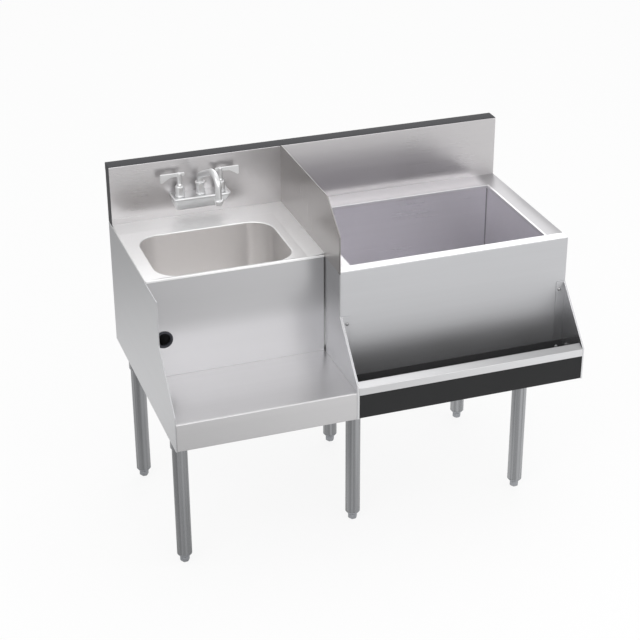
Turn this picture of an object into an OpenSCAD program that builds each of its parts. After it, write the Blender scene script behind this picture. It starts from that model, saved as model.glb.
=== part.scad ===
// Underbar station: bar sink with a drop shelf on the left, insulated ice bin with a speed rail
// on the right, one boxed backsplash behind both, six tubular legs with adjustable feet.
// Pieces are drawn in a wall frame: x from the left end, y forward from the wall, z up from the floor.

/* [Overall] */
// Width over the side panels
unit_w = 1067; // [960:1:1300]
// Depth from the wall to the front of the shelf and the rail
unit_depth = 620; // [600:1:680]
// Height of the body's lower edge above the floor
body_z = 375; // [300:1:450]
// Height of the deck above the body's lower edge
deck_h = 342; // [335:1:400]
// Height of the backsplash above the deck
splash_h = 163; // [150:1:250]
// Thickness of the boxed backsplash
splash_t = 42; // [40:1:60]
// Gauge of the sheet metal
sheet = 1.5; // [1:0.1:2]
// Thickness of a folded hem
hem_t = 3; // [2.5:0.1:4]
// Depth of a folded hem
hem_w = 12; // [8:1:15]
// Height of the backsplash's turned-down rear lip
splash_lip_h = 20; // [12:1:60]
// Radius of the bend at the top of the backsplash
splash_bend_r = 3; // [2:0.5:5]

/* [Sink station] */
// Width of the sink station
station_w = 458; // [440:1:520]
// Depth from the wall to the front of the sink deck
deck_depth = 385; // [380:1:400]
// Height of the folded front edge of the deck
deck_hem_h = 6; // [5:0.5:10]
// Width of the sloped ledge behind the bowl
ledge_back_w = 58; // [40:1:75]
// Width of the sloped ledge beside the divider
ledge_side_w = 44; // [20:1:48]
// Height of the ledge where it meets the splash
ledge_h = 5; // [3:0.5:8]
// Width of the bowl opening
bowl_w = 350; // [300:1:355]
// Length of the bowl opening, front to back
bowl_l = 250; // [200:1:255]
// Depth of the bowl
bowl_depth = 240; // [150:1:250]
// Corner radius of the bowl seen from above
bowl_corner_r = 60; // [40:1:80]
// Radius between the bowl's walls and floor
bowl_floor_r = 25; // [15:1:35]
// Gauge of the drawn bowl
bowl_gauge = 1.2; // [1:0.1:1.5]
// Distance from the station's left end to the bowl
bowl_x = 38; // [36:1:50]
// Gap between the bowl and the apron
bowl_apron_gap = 1.5; // [1:0.5:5]

/* [Drop shelf] */
// Height of the shelf above the body's lower edge
shelf_h = 75; // [60:1:90]
// Distance from the left end to the middle of the cord hole
cord_hole_x = 40; // [35:1:80]
// Distance from the deck down to the middle of the cord hole
cord_hole_drop = 164; // [120:1:190]
// Diameter of the hole for the cord grommet
cord_hole_d = 40; // [30:1:50]
// Diameter of the grommet's rim
grommet_d = 46; // [42:1:56]
// Inside diameter of the grommet
grommet_bore_d = 33; // [25:1:36]

/* [Side panels] */
// Height of the side panels' upright front edge
nose_h = 95; // [90:1:110]
// Distance from the deck down to the start of the sloped front edge
knee_drop = 120; // [100:1:140]

/* [Divider] */
// Depth of the divider's level top edge, from the wall
divider_top_depth = 406; // [350:1:440]
// Height of the divider's front edge above the deck
divider_front_h = 93; // [60:1:120]

/* [Ice bin] */
// Depth from the wall to the bin's front panel
bin_depth = 495; // [480:1:520]
// Width of the coved rim at each side of the bin
rim_side_w = 42; // [38:1:60]
// Width of the coved rim behind the bin, from the splash
rim_back_w = 54; // [40:1:60]
// Width of the flat strip in front of the bin
rim_front_w = 33; // [25:1:50]
// Fall of the coved rim towards the bin
rim_drop = 8; // [5:0.5:12]
// Height of the rim's turned-down nose
rim_nose_h = 7; // [5:0.5:12]
// Height of the front strip's turned-down lap
strip_lap_h = 20; // [16:1:26]
// Gauge of the liner
liner_gauge = 1.2; // [1:0.1:1.5]
// Depth of the liner below the rim
liner_depth = 270; // [220:1:275]
// Radius of the liner's upright corners
liner_corner_r = 5; // [3:0.5:20]
// Radius between the liner's walls and floor
liner_floor_r = 16; // [12:1:25]
// Gap between the insulation and the front panel
foam_gap = 4; // [3:0.5:8]
// Height of the bin's bottom pan and of the leg channels under it
pan_h = 26; // [24:1:30]

/* [Speed rail] */
// Height of the dark trough's front wall below the steel cap
trough_front_h = 66; // [50:1:80]
// Height of the dark trough's rear wall
trough_back_h = 54; // [40:1:70]
// Height of the cap's upright band
cap_h = 20; // [15:1:30]
// How far the cap's sloped band runs back
cap_run = 20; // [12:1:26]
// Rise of the cap's sloped band
cap_rise = 10; // [5:1:14]
// Width of the end plates' fixing flanges
end_flange_w = 25; // [20:1:30]
// Width of the end plates' in-turned front edges
end_edge_w = 4; // [3:0.5:6]
// Height of the end plates' upright front edge
rail_nose_h = 88; // [86:1:100]
// Wall of the dark trough
trough_t = 2; // [1.5:0.1:3]
// Radius of a fixing screw's shank
screw_r = 2.4; // [2:0.1:3]
// Radius of a fixing screw's head
screw_head_r = 4.6; // [4:0.1:6]

/* [Faucet] */
// Distance between the two inlet shanks
shank_spread = 101.6; // [101.6:0.1:104]
// Distance between the two valves
valve_spread = 108; // [104:0.5:112]
// Height of the faucet's top plate above the deck
faucet_h = 74; // [70:1:100]
// Width of the faucet body
faucet_w = 152; // [148:1:170]
// Projection of the faucet body from the splash
faucet_proj = 54; // [50:1:70]
// Height of the faucet body
faucet_body_h = 46; // [40:1:60]
// Projection of the faucet body's underside from the splash
faucet_toe = 18; // [14:1:26]
// How far each side of the faucet body tapers in
faucet_taper = 14; // [6:1:18]
// Distance from the splash to the valve and spout axes
valve_proj = 28; // [26:1:32]
// Radius of the valve bonnets
bonnet_r = 12; // [10:0.5:13]
// Height of the valve bonnets
bonnet_h = 28; // [22:1:34]
// Radius of the valve stems
stem_r = 4; // [3:0.1:5]
// Outer radius of the handle's upright hub
handle_hub_r = 6.5; // [6:0.1:8]
// Height of the handles
handle_h = 34; // [30:1:40]
// Length of the lever blade from its axis to its wide end
blade_l = 50; // [40:1:56]
// Length of the lever blade's short end
blade_back_l = 21; // [12:1:24]
// Height of the blade at its wide end
blade_h = 24; // [16:1:26]
// Thickness of the blade
blade_t = 4; // [3:0.5:6]
// Outer radius of the spout tube
spout_r = 8.5; // [7:0.1:10]
// Radius of the spout's lower bend
spout_bend_r = 16; // [13:1:22]
// Radius of the spout's upper bend
spout_crook_r = 34; // [26:1:40]
// Wall of the spout tube
spout_wall = 1.4; // [1:0.1:2]
// Reach of the spout from its axis
spout_reach = 124; // [110:1:140]
// Rise of the spout's crest above the faucet's top plate
spout_rise = 96; // [90:1:104]
// Height of the spout's mouth above the faucet's top plate
spout_mouth_h = 26; // [15:1:35]
// Turn of the spout to the right at rest
spout_turn = 6.4; // [0:0.1:20]
// Slope of the spout's rising run
spout_slope = 25; // [15:1:30]

/* [Drains] */
// Radius of the drain hole in the sink
sink_drain_r = 22; // [18:0.5:25]
// Outer radius of the sink's tailpiece
tail_r = 19.05; // [16:0.05:20]
// Length of the sink's tailpiece
tail_l = 70; // [40:1:80]
// Radius of the drain hole in the bin
bin_drain_r = 14; // [10:0.5:18]

/* [Legs] */
// Outer diameter of the legs
leg_d = 38.1; // [32:0.1:41.3]
// Wall of the legs
leg_wall = 1.6; // [1.2:0.1:3]
// Distance from each end of the unit to the left legs
left_leg_x = 30; // [30:1:60]
// Distance from the right end to the right legs
right_leg_inset = 110; // [60:1:160]
// Distance from the station's right side to the middle front leg
mid_front_leg_x = 35; // [35:1:60]
// Distance from the station's right side to the middle back leg
mid_back_leg_x = 110; // [60:1:160]
// Distance from the wall to the back legs
back_leg_depth = 104; // [80:1:140]
// Distance from the wall to the bin's front legs
bin_leg_depth = 491; // [440:1:500]
// Distance from the wall to the station's front leg
station_leg_depth = 529; // [460:1:560]
// Width of a leg socket's plate
socket_plate_w = 58; // [52:1:60]
// Height of a leg socket's collar
socket_collar_h = 38; // [25:1:45]
// Outer radius of a leg socket's collar
socket_r = 22.5; // [21:0.1:25]
// Width of the hexagonal foot across its corners
foot_w = 25; // [20:0.5:30]
// Height of the hexagonal foot
foot_h = 16; // [12:0.5:25]
// Height of the tapered insert between leg and foot
insert_h = 10; // [6:0.5:15]
// Radius of the foot's stem
foot_stem_r = 6; // [5:0.5:8]
// Length of the foot's stem above the hexagon
foot_stem_l = 55; // [50:1:70]

/* [Fits] */
// Radial clearance of a turning or sliding fit
running = 0.06; // [0.02:0.01:0.1]
// Radial clearance of a fixed fit
fixed_fit = 0.1; // [0.05:0.01:0.3]
// Gap between stacked sheet pieces
lay_gap = 0.1; // [0.05:0.01:0.3]

/* [Hidden] */
$fn = 64;
eps = 0.01;
far = 400;
// fixed details
channel_w = 58;
shank_r = 10.4;
shank_end_r = 10;
shank_end_l = 20;
shank_hole_r = 11.5;
shank_depth = 16;
shank_wall = 2.5;
shank_back = 34;
shank_nut_h = 7;
shank_nut_w = 30;
drain_wall = 2.4;
drain_flange_w = 10;
drain_flange_t = 2;
drain_body_l = 34;
drain_bar_w = 3;
drain_bar_h = 5;
gasket_t = 2.5;
lock_nut_h = 8;
lock_nut_w = 9;
slip_nut_h = 16;
slip_nut_w = 5;
tail_overlap = 15;
tail_wall = 1.8;
tail_end_l = 40;
hose_end_r = 12.7;
hose_end_l = 24;
tail_step = 0.6;
nut_lugs = 6;
grommet_rim_t = 3;
socket_plate_t = 3;
insert_plug_l = 22;
insert_rim_h = 1;
rim_steps = 5;
rim_flat_w = 2;
screw_inset = 16;
upper_screw_drop = 22;
lower_screw_h = 36;
screw_l = 6;
screw_head_h = 3;
screw_dome_r = 6;
lip_r = 3;
lip_w = 4;
lip_rise = 2;
faucet_corner_r = 9;
valve_seat_depth = 12;
valve_floor_t = 2;
spigot_r = 9;
bonnet_step = 1;
bonnet_foot_h = 3;
bonnet_bevel = 3;
stem_gap = 1;
stem_grip = 20;
handle_gap = 0.5;
skirt_flare = 2;
skirt_h = 5;
hub_bevel = 2;
blade_neck_h = 10;
blade_neck_share = 0.5;
blade_corner = 3;
spout_barrel_r = 10.5;
spout_collar_r = 13;
spout_nut_h = 34;
collar_h = 4;
collar_bevel = 1.5;
spout_floor_gap = 0.3;
bend_fit = 0.05;
aerator_r = 12;
aerator_h = 13;
aerator_ring_h = 4;
aerator_sleeve_h = 2;
nozzle_step = 2;
foot_bevel = 4;

// derived sizes
deck_z = body_z + deck_h;
top_z = deck_z + splash_h;
bowl_mid_x = bowl_x + bowl_w / 2;
bowl_front = deck_depth - 2 * sheet - lay_gap - bowl_apron_gap - bowl_gauge;
bowl_mid_y = bowl_front - bowl_l / 2;
bowl_floor_z = deck_z - sheet - bowl_depth;
shelf_z = body_z + shelf_h;
nose_z = body_z + nose_h;
knee_z = deck_z - knee_drop;
mid_x = station_w - hem_t;
panel_top_z = deck_z - hem_t - lay_gap;
rim_x0 = mid_x + sheet + lay_gap;
opening_x0 = station_w + rim_side_w;
opening_x1 = unit_w - rim_side_w;
opening_y0 = splash_t + rim_back_w;
opening_y1 = bin_depth - rim_front_w;
opening_w = opening_x1 - opening_x0;
opening_l = opening_y1 - opening_y0;
nose_low_z = deck_z - rim_drop - sheet - rim_nose_h;
liner_w = opening_w + 2 * (sheet + lay_gap);
liner_l = opening_l + 2 * (sheet + lay_gap);
liner_mid_x = (opening_x0 + opening_x1) / 2;
liner_mid_y = (opening_y0 + opening_y1) / 2;
liner_top_z = deck_z - rim_drop - sheet - lay_gap;
liner_floor_z = liner_top_z - liner_depth;
pan_z = body_z + pan_h;
rail_x0 = station_w + lay_gap;
rail_nose_z = body_z + rail_nose_h;
cap_low_z = body_z + trough_front_h;
trough_back_y = bin_depth + sheet + 2 * lay_gap;
faucet_x = station_w / 2;
valve_y = splash_t + valve_proj;
plate_z = deck_z + faucet_h;
faucet_low_z = plate_z - faucet_body_h;
shank_z = plate_z - faucet_body_h / 2;
bonnet_z = plate_z + bonnet_h;
blade_z = bonnet_z + handle_h;
insert_top_z = foot_h + insert_h;
leg_top_z = body_z - socket_plate_t - 2 * lay_gap;
mid_front_x = station_w + mid_front_leg_x;
mid_back_x = station_w + mid_back_leg_x;
right_leg_x = unit_w - right_leg_inset;

screw_heights = [knee_z - upper_screw_drop, body_z + lower_screw_h];
leg_places = [
    [left_leg_x, station_leg_depth],
    [mid_front_x, bin_leg_depth],
    [right_leg_x, bin_leg_depth],
    [left_leg_x, back_leg_depth],
    [mid_back_x, back_leg_depth],
    [right_leg_x, back_leg_depth]
];

// ---- places ----

// Moves children from the wall frame to the part's own frame
module from_wall() {
    translate([-unit_w / 2, unit_depth / 2, 0]) mirror([0, 1, 0]) children();
}

// Extrudes a (y, z) profile along the width
module along_width(length) {
    rotate([90, 0, 90]) linear_extrude(length) children();
}

// Extrudes an (x, z) profile forward from the wall
module along_depth(length) {
    translate([0, length, 0]) rotate([90, 0, 0]) linear_extrude(length) children();
}

// ---- sheet metal ----

// Bent strip along a centre line, with round bends
module fold(points, gauge = sheet) {
    for (i = [0:len(points) - 2]) {
        a = points[i];
        b = points[i + 1];
        run = b - a;
        translate(a) rotate(atan2(run[1], run[0])) translate([0, -gauge / 2]) square([norm(run), gauge]);
    }
    for (i = [1:1:len(points) - 2]) translate(points[i]) circle(d = gauge);
}

// Rectangle with rounded corners
module rounded(size, r) {
    translate([r, 0]) square([size[0] - 2 * r, size[1]]);
    translate([0, r]) square([size[0], size[1] - 2 * r]);
    for (x = [r, size[0] - r], y = [r, size[1] - r]) translate([x, y]) circle(r);
}

// Fall of a rim from its outer edge, as [distance, height] steps: straight in one step, coved in more
function fall(width, drop, steps) =
    [for (i = [0:steps]) [width * i / steps, -drop * (1 - pow(1 - i / steps, 2))]];

// Height of that fall's first slope where it is carried on past the outer edge; the level height with no fall
function rim_run_out(width, z, drop, steps) =
    width > 0 ? z - fall(width, drop, steps)[1][1] / fall(width, drop, steps)[1][0] * sheet : z - drop;

// Outline of the space over a rimmed sheet that falls from both edges to a level middle
function space_over(low, low_w, high, high_w, z, drop, steps) = concat(
    [[low - sheet, z + far], [low - sheet, rim_run_out(low_w, z, drop, steps)]],
    [for (i = [1:steps]) if (low_w > 0) [low, z] + fall(low_w, drop, steps)[i]],
    [for (i = [steps:-1:1]) if (high_w > 0)
        [high - fall(high_w, drop, steps)[i][0], z + fall(high_w, drop, steps)[i][1]]],
    [[high + sheet, rim_run_out(high_w, z, drop, steps)], [high + sheet, z + far]]
);

// Sheet that falls from its sides, x = [low, high] and y = [low, high], with mitred corners
module rimmed_sheet(x, x_rims, y, y_rims, z, drop, steps) {
    module space() {
        intersection() {
            translate([0, y[0] - sheet, 0]) along_depth(y[1] - y[0] + 2 * sheet)
                polygon(space_over(x[0], x_rims[0], x[1], x_rims[1], z, drop, steps));
            translate([x[0] - sheet, 0, 0]) along_width(x[1] - x[0] + 2 * sheet)
                polygon(space_over(y[0], y_rims[0], y[1], y_rims[1], z, drop, steps));
        }
    }
    difference() {
        intersection() {
            translate([0, 0, -sheet]) space();
            translate([x[0], y[0], z - drop - 2 * sheet])
                cube([x[1] - x[0], y[1] - y[0], drop + 3 * sheet]);
        }
        space();
    }
}

// Plain ring
module ring(inner_r, outer_r, height) {
    difference() {
        cylinder(r = outer_r, h = height);
        translate([0, 0, -height]) cylinder(r = inner_r, h = 3 * height);
    }
}

// Ring nut with grip lugs round it
module lugged_ring(inner_r, outer_r, height) {
    ring(inner_r, outer_r, height);
    for (turn = [0:360 / nut_lugs:359])
        rotate(turn) translate([(inner_r + outer_r) / 2, -outer_r / 8, 0])
            cube([(outer_r - inner_r) * 0.9, outer_r / 4, height]);
}

// Half of a tub's cross-section: upright wall, rounded lower edge, flat floor, top at height 0
module tub_half_profile(reach, depth, floor_r) {
    intersection() {
        translate([0, -depth]) square([reach, depth]);
        union() {
            translate([0, floor_r - depth]) square([reach, depth]);
            translate([0, -depth]) square([reach - floor_r, depth]);
            translate([reach - floor_r, floor_r - depth]) circle(floor_r);
        }
    }
}

// Whole cross-section of a tub
module tub_profile(reach, depth, floor_r) {
    tub_half_profile(reach, depth, floor_r);
    mirror([1, 0]) tub_half_profile(reach, depth, floor_r);
}

// Solid with deep-drawn corners: the rounded lower edge runs round each corner
module drawn_solid(w, l, depth, corner_r, floor_r) {
    flat_w = w - 2 * corner_r;
    flat_l = l - 2 * corner_r;
    translate([0, -flat_l / 2, 0]) along_depth(flat_l) tub_profile(w / 2, depth, floor_r);
    translate([-flat_w / 2, 0, 0]) along_width(flat_w) tub_profile(l / 2, depth, floor_r);
    for (x = [-1, 1], y = [-1, 1])
        translate([x * flat_w / 2, y * flat_l / 2, 0])
            rotate_extrude() tub_half_profile(corner_r, depth, floor_r);
}

// Solid with folded and welded corners: two rolled cross-sections meet in a mitre
module folded_solid(w, l, depth, corner_r, floor_r) {
    intersection() {
        translate([0, -l / 2, 0]) along_depth(l) tub_profile(w / 2, depth, floor_r);
        translate([-w / 2, 0, 0]) along_width(w) tub_profile(l / 2, depth, floor_r);
        translate([-w / 2, -l / 2, -depth]) linear_extrude(depth) rounded([w, l], corner_r);
    }
}

// ---- body ----

// Side panel outline in (y, z), relieved over the back panel's lower flange
module panel_outline() {
    polygon([
        [sheet + lay_gap, body_z + sheet + lay_gap], [hem_w + lay_gap, body_z + sheet + lay_gap],
        [hem_w + lay_gap, body_z], [unit_depth, body_z], [unit_depth, nose_z], [bin_depth, knee_z],
        [bin_depth, panel_top_z], [sheet + lay_gap, panel_top_z]
    ]);
}

// Strip along the panel's folded front and lower edges
module panel_hem_outline() {
    slope_in = hem_w / 3;
    difference() {
        panel_outline();
        polygon([
            [0, body_z + hem_w], [unit_depth - hem_w, body_z + hem_w],
            [unit_depth - hem_w, nose_z - slope_in], [bin_depth - hem_w, knee_z - slope_in],
            [bin_depth - hem_w, top_z], [0, top_z]
        ]);
    }
}

// Backsplash: one sheet folded back over the top and down in a lip, open behind, with a cap at each end
module backsplash() {
    color("gainsboro") from_wall() difference() {
        union() {
            along_width(unit_w) fold([
                [splash_t - sheet / 2, deck_z - hem_t + sheet / 2],
                [splash_t - sheet / 2, top_z - splash_bend_r],
                [splash_t - splash_bend_r, top_z - sheet / 2],
                [sheet / 2, top_z - sheet / 2],
                [sheet / 2, top_z - splash_lip_h]
            ]);
            for (x = [0, unit_w - sheet])
                translate([x, 0, 0]) along_width(sheet) translate([sheet / 2, deck_z + lay_gap])
                    square([splash_t - sheet, splash_h - lay_gap - sheet]);
        }
        at_shanks() rotate([-90, 0, 0]) cylinder(r = shank_hole_r, h = 4 * sheet, center = true);
    }
}

// Rear panel of the body, folded forward along its lower edge
module back_panel() {
    color("silver") from_wall() translate([sheet + lay_gap, 0, 0])
        along_width(unit_w - 2 * (sheet + lay_gap)) fold([
            [sheet / 2, deck_z - lay_gap],
            [sheet / 2, body_z + sheet / 2],
            [hem_w, body_z + sheet / 2]
        ]);
}

module side_panel_left() {
    color("silver") from_wall() {
        along_width(sheet) panel_outline();
        along_width(sheet) translate([0, body_z]) square([hem_w + eps, panel_top_z - body_z]);
        along_width(hem_t) panel_hem_outline();
    }
}

// Panel between the two sections, folded towards the sink station
module side_panel_mid() {
    color("silver") from_wall() {
        translate([station_w - sheet, 0, 0]) along_width(sheet) panel_outline();
        translate([mid_x, 0, 0]) along_width(hem_t) panel_hem_outline();
    }
}

// Flat right side of the ice bin
module side_panel_right() {
    color("silver") from_wall() translate([unit_w - sheet, 0, 0]) along_width(sheet)
        translate([0, body_z]) square([bin_depth - sheet - lay_gap, panel_top_z - body_z]);
}

// Splash plate between sink and bin, with a folded free edge
module divider() {
    module outline(inset = 0) {
        polygon([
            [splash_t, deck_z - hem_t], [bin_depth - inset, deck_z - hem_t],
            [bin_depth - inset, deck_z + divider_front_h - inset / 3],
            [divider_top_depth - inset / 3, top_z - inset], [splash_t, top_z - inset]
        ]);
    }
    color("darkgray") from_wall() translate([mid_x, 0, 0]) {
        along_width(sheet) outline();
        along_width(hem_t) difference() {
            outline();
            translate([-sheet, -sheet]) outline(hem_w - sheet);
        }
    }
}

// ---- sink station ----

// Deck with the bowl's opening, sloped ledges behind and beside it, and folded free edges
module sink_deck() {
    deck_w = mid_x - lay_gap;
    color("whitesmoke") from_wall() {
        difference() {
            rimmed_sheet([0, deck_w], [0, ledge_side_w], [splash_t, deck_depth], [ledge_back_w, 0],
                deck_z + ledge_h, ledge_h, 1);
            translate([bowl_x, bowl_front - bowl_l, deck_z - far / 2])
                linear_extrude(far) rounded([bowl_w, bowl_l], bowl_corner_r);
        }
        translate([hem_t + lay_gap, deck_depth - sheet, deck_z - deck_hem_h])
            cube([deck_w - hem_t - lay_gap, sheet, deck_hem_h]);
        translate([0, splash_t, deck_z - hem_t]) cube([sheet, deck_depth - splash_t, hem_t]);
    }
}

// Deep-drawn bowl, welded under the deck's opening
module sink_bowl() {
    color("lightgray") from_wall() translate([bowl_mid_x, bowl_mid_y, deck_z - sheet]) difference() {
        drawn_solid(bowl_w + 2 * bowl_gauge, bowl_l + 2 * bowl_gauge, bowl_depth + bowl_gauge,
            bowl_corner_r + bowl_gauge, bowl_floor_r + bowl_gauge);
        translate([0, 0, eps]) drawn_solid(bowl_w, bowl_l, bowl_depth + eps, bowl_corner_r, bowl_floor_r);
        translate([0, 0, -bowl_depth - 2 * bowl_gauge]) cylinder(r = sink_drain_r, h = 3 * bowl_gauge);
    }
}

// Drain body: flange in the bowl, crossed strainer bars, spigot below
module sink_drain() {
    bore_r = tail_r + tail_step + fixed_fit;
    body_r = sink_drain_r - fixed_fit;
    color("silver") from_wall() translate([bowl_mid_x, bowl_mid_y, bowl_floor_z]) {
        translate([0, 0, lay_gap]) ring(bore_r, body_r + drain_flange_w, drain_flange_t);
        translate([0, 0, -drain_body_l]) ring(bore_r, body_r, drain_body_l + 2 * lay_gap);
        for (turn = [0, 90])
            rotate(turn) translate([-bore_r - drain_wall / 2, -drain_bar_w / 2, -drain_bar_h])
                cube([2 * bore_r + drain_wall, drain_bar_w, drain_bar_h]);
    }
}

module sink_drain_gasket() {
    color("black") from_wall()
        translate([bowl_mid_x, bowl_mid_y, bowl_floor_z - bowl_gauge - lay_gap - gasket_t])
            ring(sink_drain_r, sink_drain_r + lock_nut_w, gasket_t);
}

// Round lock nut with grip lugs
module sink_drain_nut() {
    nut_top = bowl_floor_z - bowl_gauge - 2 * lay_gap - gasket_t;
    color("goldenrod") from_wall() translate([bowl_mid_x, bowl_mid_y, nut_top - lock_nut_h])
        lugged_ring(sink_drain_r, sink_drain_r + lock_nut_w, lock_nut_h);
}

// Tailpiece: upper end inside the drain body, lower end turned down for the waste pipe's slip joint
module sink_tailpiece() {
    top = bowl_floor_z - drain_body_l + tail_overlap;
    neck_r = tail_r + tail_step;
    color("silver") from_wall() translate([bowl_mid_x, bowl_mid_y, top - tail_l]) difference() {
        union() {
            cylinder(r = tail_r, h = tail_l);
            translate([0, 0, tail_end_l]) cylinder(r = neck_r, h = tail_l - tail_end_l);
        }
        translate([0, 0, -tail_l]) cylinder(r = neck_r - tail_wall, h = 3 * tail_l);
    }
}

// Slip nut: screws on the drain body and closes in under it on the tailpiece
module sink_slip_nut() {
    low_z = bowl_floor_z - drain_body_l - lay_gap - slip_nut_h / 2;
    color("silver") from_wall() translate([bowl_mid_x, bowl_mid_y, low_z]) difference() {
        lugged_ring(tail_r + tail_step + fixed_fit, sink_drain_r + slip_nut_w, slip_nut_h);
        translate([0, 0, slip_nut_h / 2]) cylinder(r = sink_drain_r, h = slip_nut_h);
    }
}

// Recessed front wall under the deck, with a foot on the shelf and the cord hole
module apron() {
    middle = deck_depth - 1.5 * sheet - lay_gap;
    foot_z = shelf_z + lay_gap + sheet / 2;
    color("silver") from_wall() difference() {
        translate([sheet + lay_gap, 0, 0]) along_width(station_w - 2 * (sheet + lay_gap)) fold([
            [deck_depth - 2 * hem_w, foot_z], [middle, foot_z], [middle, panel_top_z]
        ]);
        translate([cord_hole_x, middle, deck_z - cord_hole_drop])
            rotate([-90, 0, 0]) cylinder(d = cord_hole_d, h = 4 * sheet, center = true);
    }
}

// Grommet: a soft ring with a groove that grips the edge of the cord hole
module cord_grommet() {
    face_y = deck_depth - sheet - lay_gap;
    bore_r = grommet_bore_d / 2;
    color("black") from_wall() translate([cord_hole_x, face_y, deck_z - cord_hole_drop])
        rotate([-90, 0, 0]) {
            translate([0, 0, lay_gap]) ring(bore_r, grommet_d / 2, grommet_rim_t);
            translate([0, 0, -sheet - lay_gap - grommet_rim_t])
                ring(bore_r, grommet_d / 2, grommet_rim_t);
            translate([0, 0, -2 * sheet])
                ring(bore_r, cord_hole_d / 2 - fixed_fit, 3 * sheet);
        }
}

// Shelf for a blender: level floor between the side panels, deep front lip with a folded lower edge
module drop_shelf() {
    floor_z = shelf_z - sheet / 2;
    front = unit_depth - sheet / 2;
    rear = deck_depth - 2 * hem_w;
    color("gainsboro") from_wall() {
        translate([sheet + lay_gap, 0, 0]) along_width(station_w - 2 * (sheet + lay_gap))
            fold([[rear, floor_z], [unit_depth - hem_w - sheet, floor_z]]);
        translate([hem_t + lay_gap, 0, 0]) along_width(mid_x - hem_t - 2 * lay_gap) fold([
            [rear, floor_z], [front, floor_z], [front, body_z + sheet / 2],
            [unit_depth - hem_w, body_z + sheet / 2]
        ]);
    }
}

// Channels that carry the leg sockets: one along the station's left side, two across under the bin pan
module leg_channels() {
    bin_x0 = station_w + lay_gap;
    color("silver") from_wall() {
        translate([hem_t + lay_gap, hem_w + lay_gap, 0])
            along_depth(unit_depth - 2 * (hem_w + lay_gap)) channel_profile();
        for (y = [back_leg_depth - channel_w / 2, bin_depth - 2 * sheet - 2 * lay_gap - channel_w])
            translate([bin_x0, y, 0]) along_width(unit_w - sheet - lay_gap - bin_x0) channel_profile();
    }
}

// Upward-open channel from the body's lower edge to the bin pan
module channel_profile() {
    near = sheet / 2;
    top = pan_z - lay_gap;
    fold([[near, top], [near, body_z + near], [channel_w - near, body_z + near], [channel_w - near, top]]);
}

// ---- ice bin ----

// Front panel, folded back along the top as a level strip with a turned-down lap behind the liner's edge
module bin_front() {
    face = bin_depth - sheet / 2;
    lap = opening_y1 + sheet / 2;
    lap_x0 = opening_x0 - sheet + liner_corner_r;
    color("gainsboro") from_wall() difference() {
        union() {
            translate([rail_x0, 0, 0]) along_width(unit_w - rail_x0)
                fold([[lap, deck_z - sheet / 2], [face, deck_z - sheet / 2], [face, body_z]]);
            translate([rail_x0, 0, 0]) along_width(unit_w - sheet - lay_gap - rail_x0)
                fold([[lap, liner_top_z + lay_gap + sheet / 2], [lap, deck_z - sheet / 2]]);
            translate([unit_w - sheet, opening_y1, deck_z - hem_t])
                cube([sheet, bin_depth - opening_y1, hem_t]);
            translate([lap_x0, opening_y1, deck_z - strip_lap_h])
                cube([opening_x1 + opening_x0 - 2 * lap_x0, sheet, strip_lap_h - sheet]);
        }
        at_rail_screws() cylinder(r = screw_r + fixed_fit, h = 4 * screw_l, center = true);
    }
}

// Coved rim: falls to the bin from behind and from both sides to a narrow level strip and a turned-down nose
module bin_rim() {
    front = opening_y1 - lay_gap;
    color("lightgray") from_wall() difference() {
        union() {
            rimmed_sheet([rim_x0, unit_w], [opening_x0 - rim_x0 - rim_flat_w, rim_side_w - rim_flat_w],
                [splash_t, front], [rim_back_w - rim_flat_w, 0], deck_z, rim_drop, rim_steps);
            rim_nose();
            translate([unit_w - sheet - lay_gap, splash_t + lay_gap, deck_z - hem_t])
                cube([sheet, front - splash_t - 2 * lay_gap, hem_t - sheet / 2]);
        }
        translate([opening_x0, opening_y0, nose_low_z - sheet]) linear_extrude(far)
            rounded([opening_w, opening_l + hem_w], liner_corner_r - sheet);
    }
}

// Band that becomes the rim's nose once the opening is cut; it ends before the liner's front corners
module rim_nose() {
    translate([opening_x0 - sheet, opening_y0 - sheet, nose_low_z]) difference() {
        linear_extrude(rim_nose_h + sheet / 2)
            rounded([opening_w + 2 * sheet, opening_l + hem_w], liner_corner_r);
        translate([-sheet, opening_l - liner_corner_r, -sheet])
            cube([opening_w + 4 * sheet, far, rim_nose_h + 2 * sheet]);
    }
}

// Liner: folded and welded tub with rolled lower edges, its upper edge behind the rim's nose
module bin_liner() {
    color("lightsteelblue") from_wall() translate([liner_mid_x, liner_mid_y, liner_top_z]) difference() {
        liner_solid(liner_gauge, 0);
        translate([0, 0, eps]) liner_solid(0, eps);
        translate([0, 0, -liner_depth]) cylinder(r = bin_drain_r, h = 4 * liner_gauge, center = true);
    }
}

// The liner's inside as a solid, grown outwards all round and upwards
module liner_solid(grow, rise) {
    folded_solid(liner_w + 2 * grow, liner_l + 2 * grow, liner_depth + grow + rise,
        liner_corner_r + grow, liner_floor_r + grow);
}

// Foamed insulation between the liner and the outer panels
module bin_insulation() {
    low = pan_z + sheet + lay_gap;
    color("khaki") from_wall() difference() {
        translate([rail_x0, sheet + lay_gap, low])
            cube([unit_w - sheet - lay_gap - rail_x0, bin_depth - 2 * sheet - foam_gap - lay_gap,
                nose_low_z - lay_gap - low]);
        translate([liner_mid_x, liner_mid_y, liner_top_z]) liner_solid(liner_gauge + lay_gap, 0);
        translate([liner_mid_x, liner_mid_y, low - sheet]) cylinder(r = bin_drain_r, h = liner_depth);
    }
}

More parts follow.
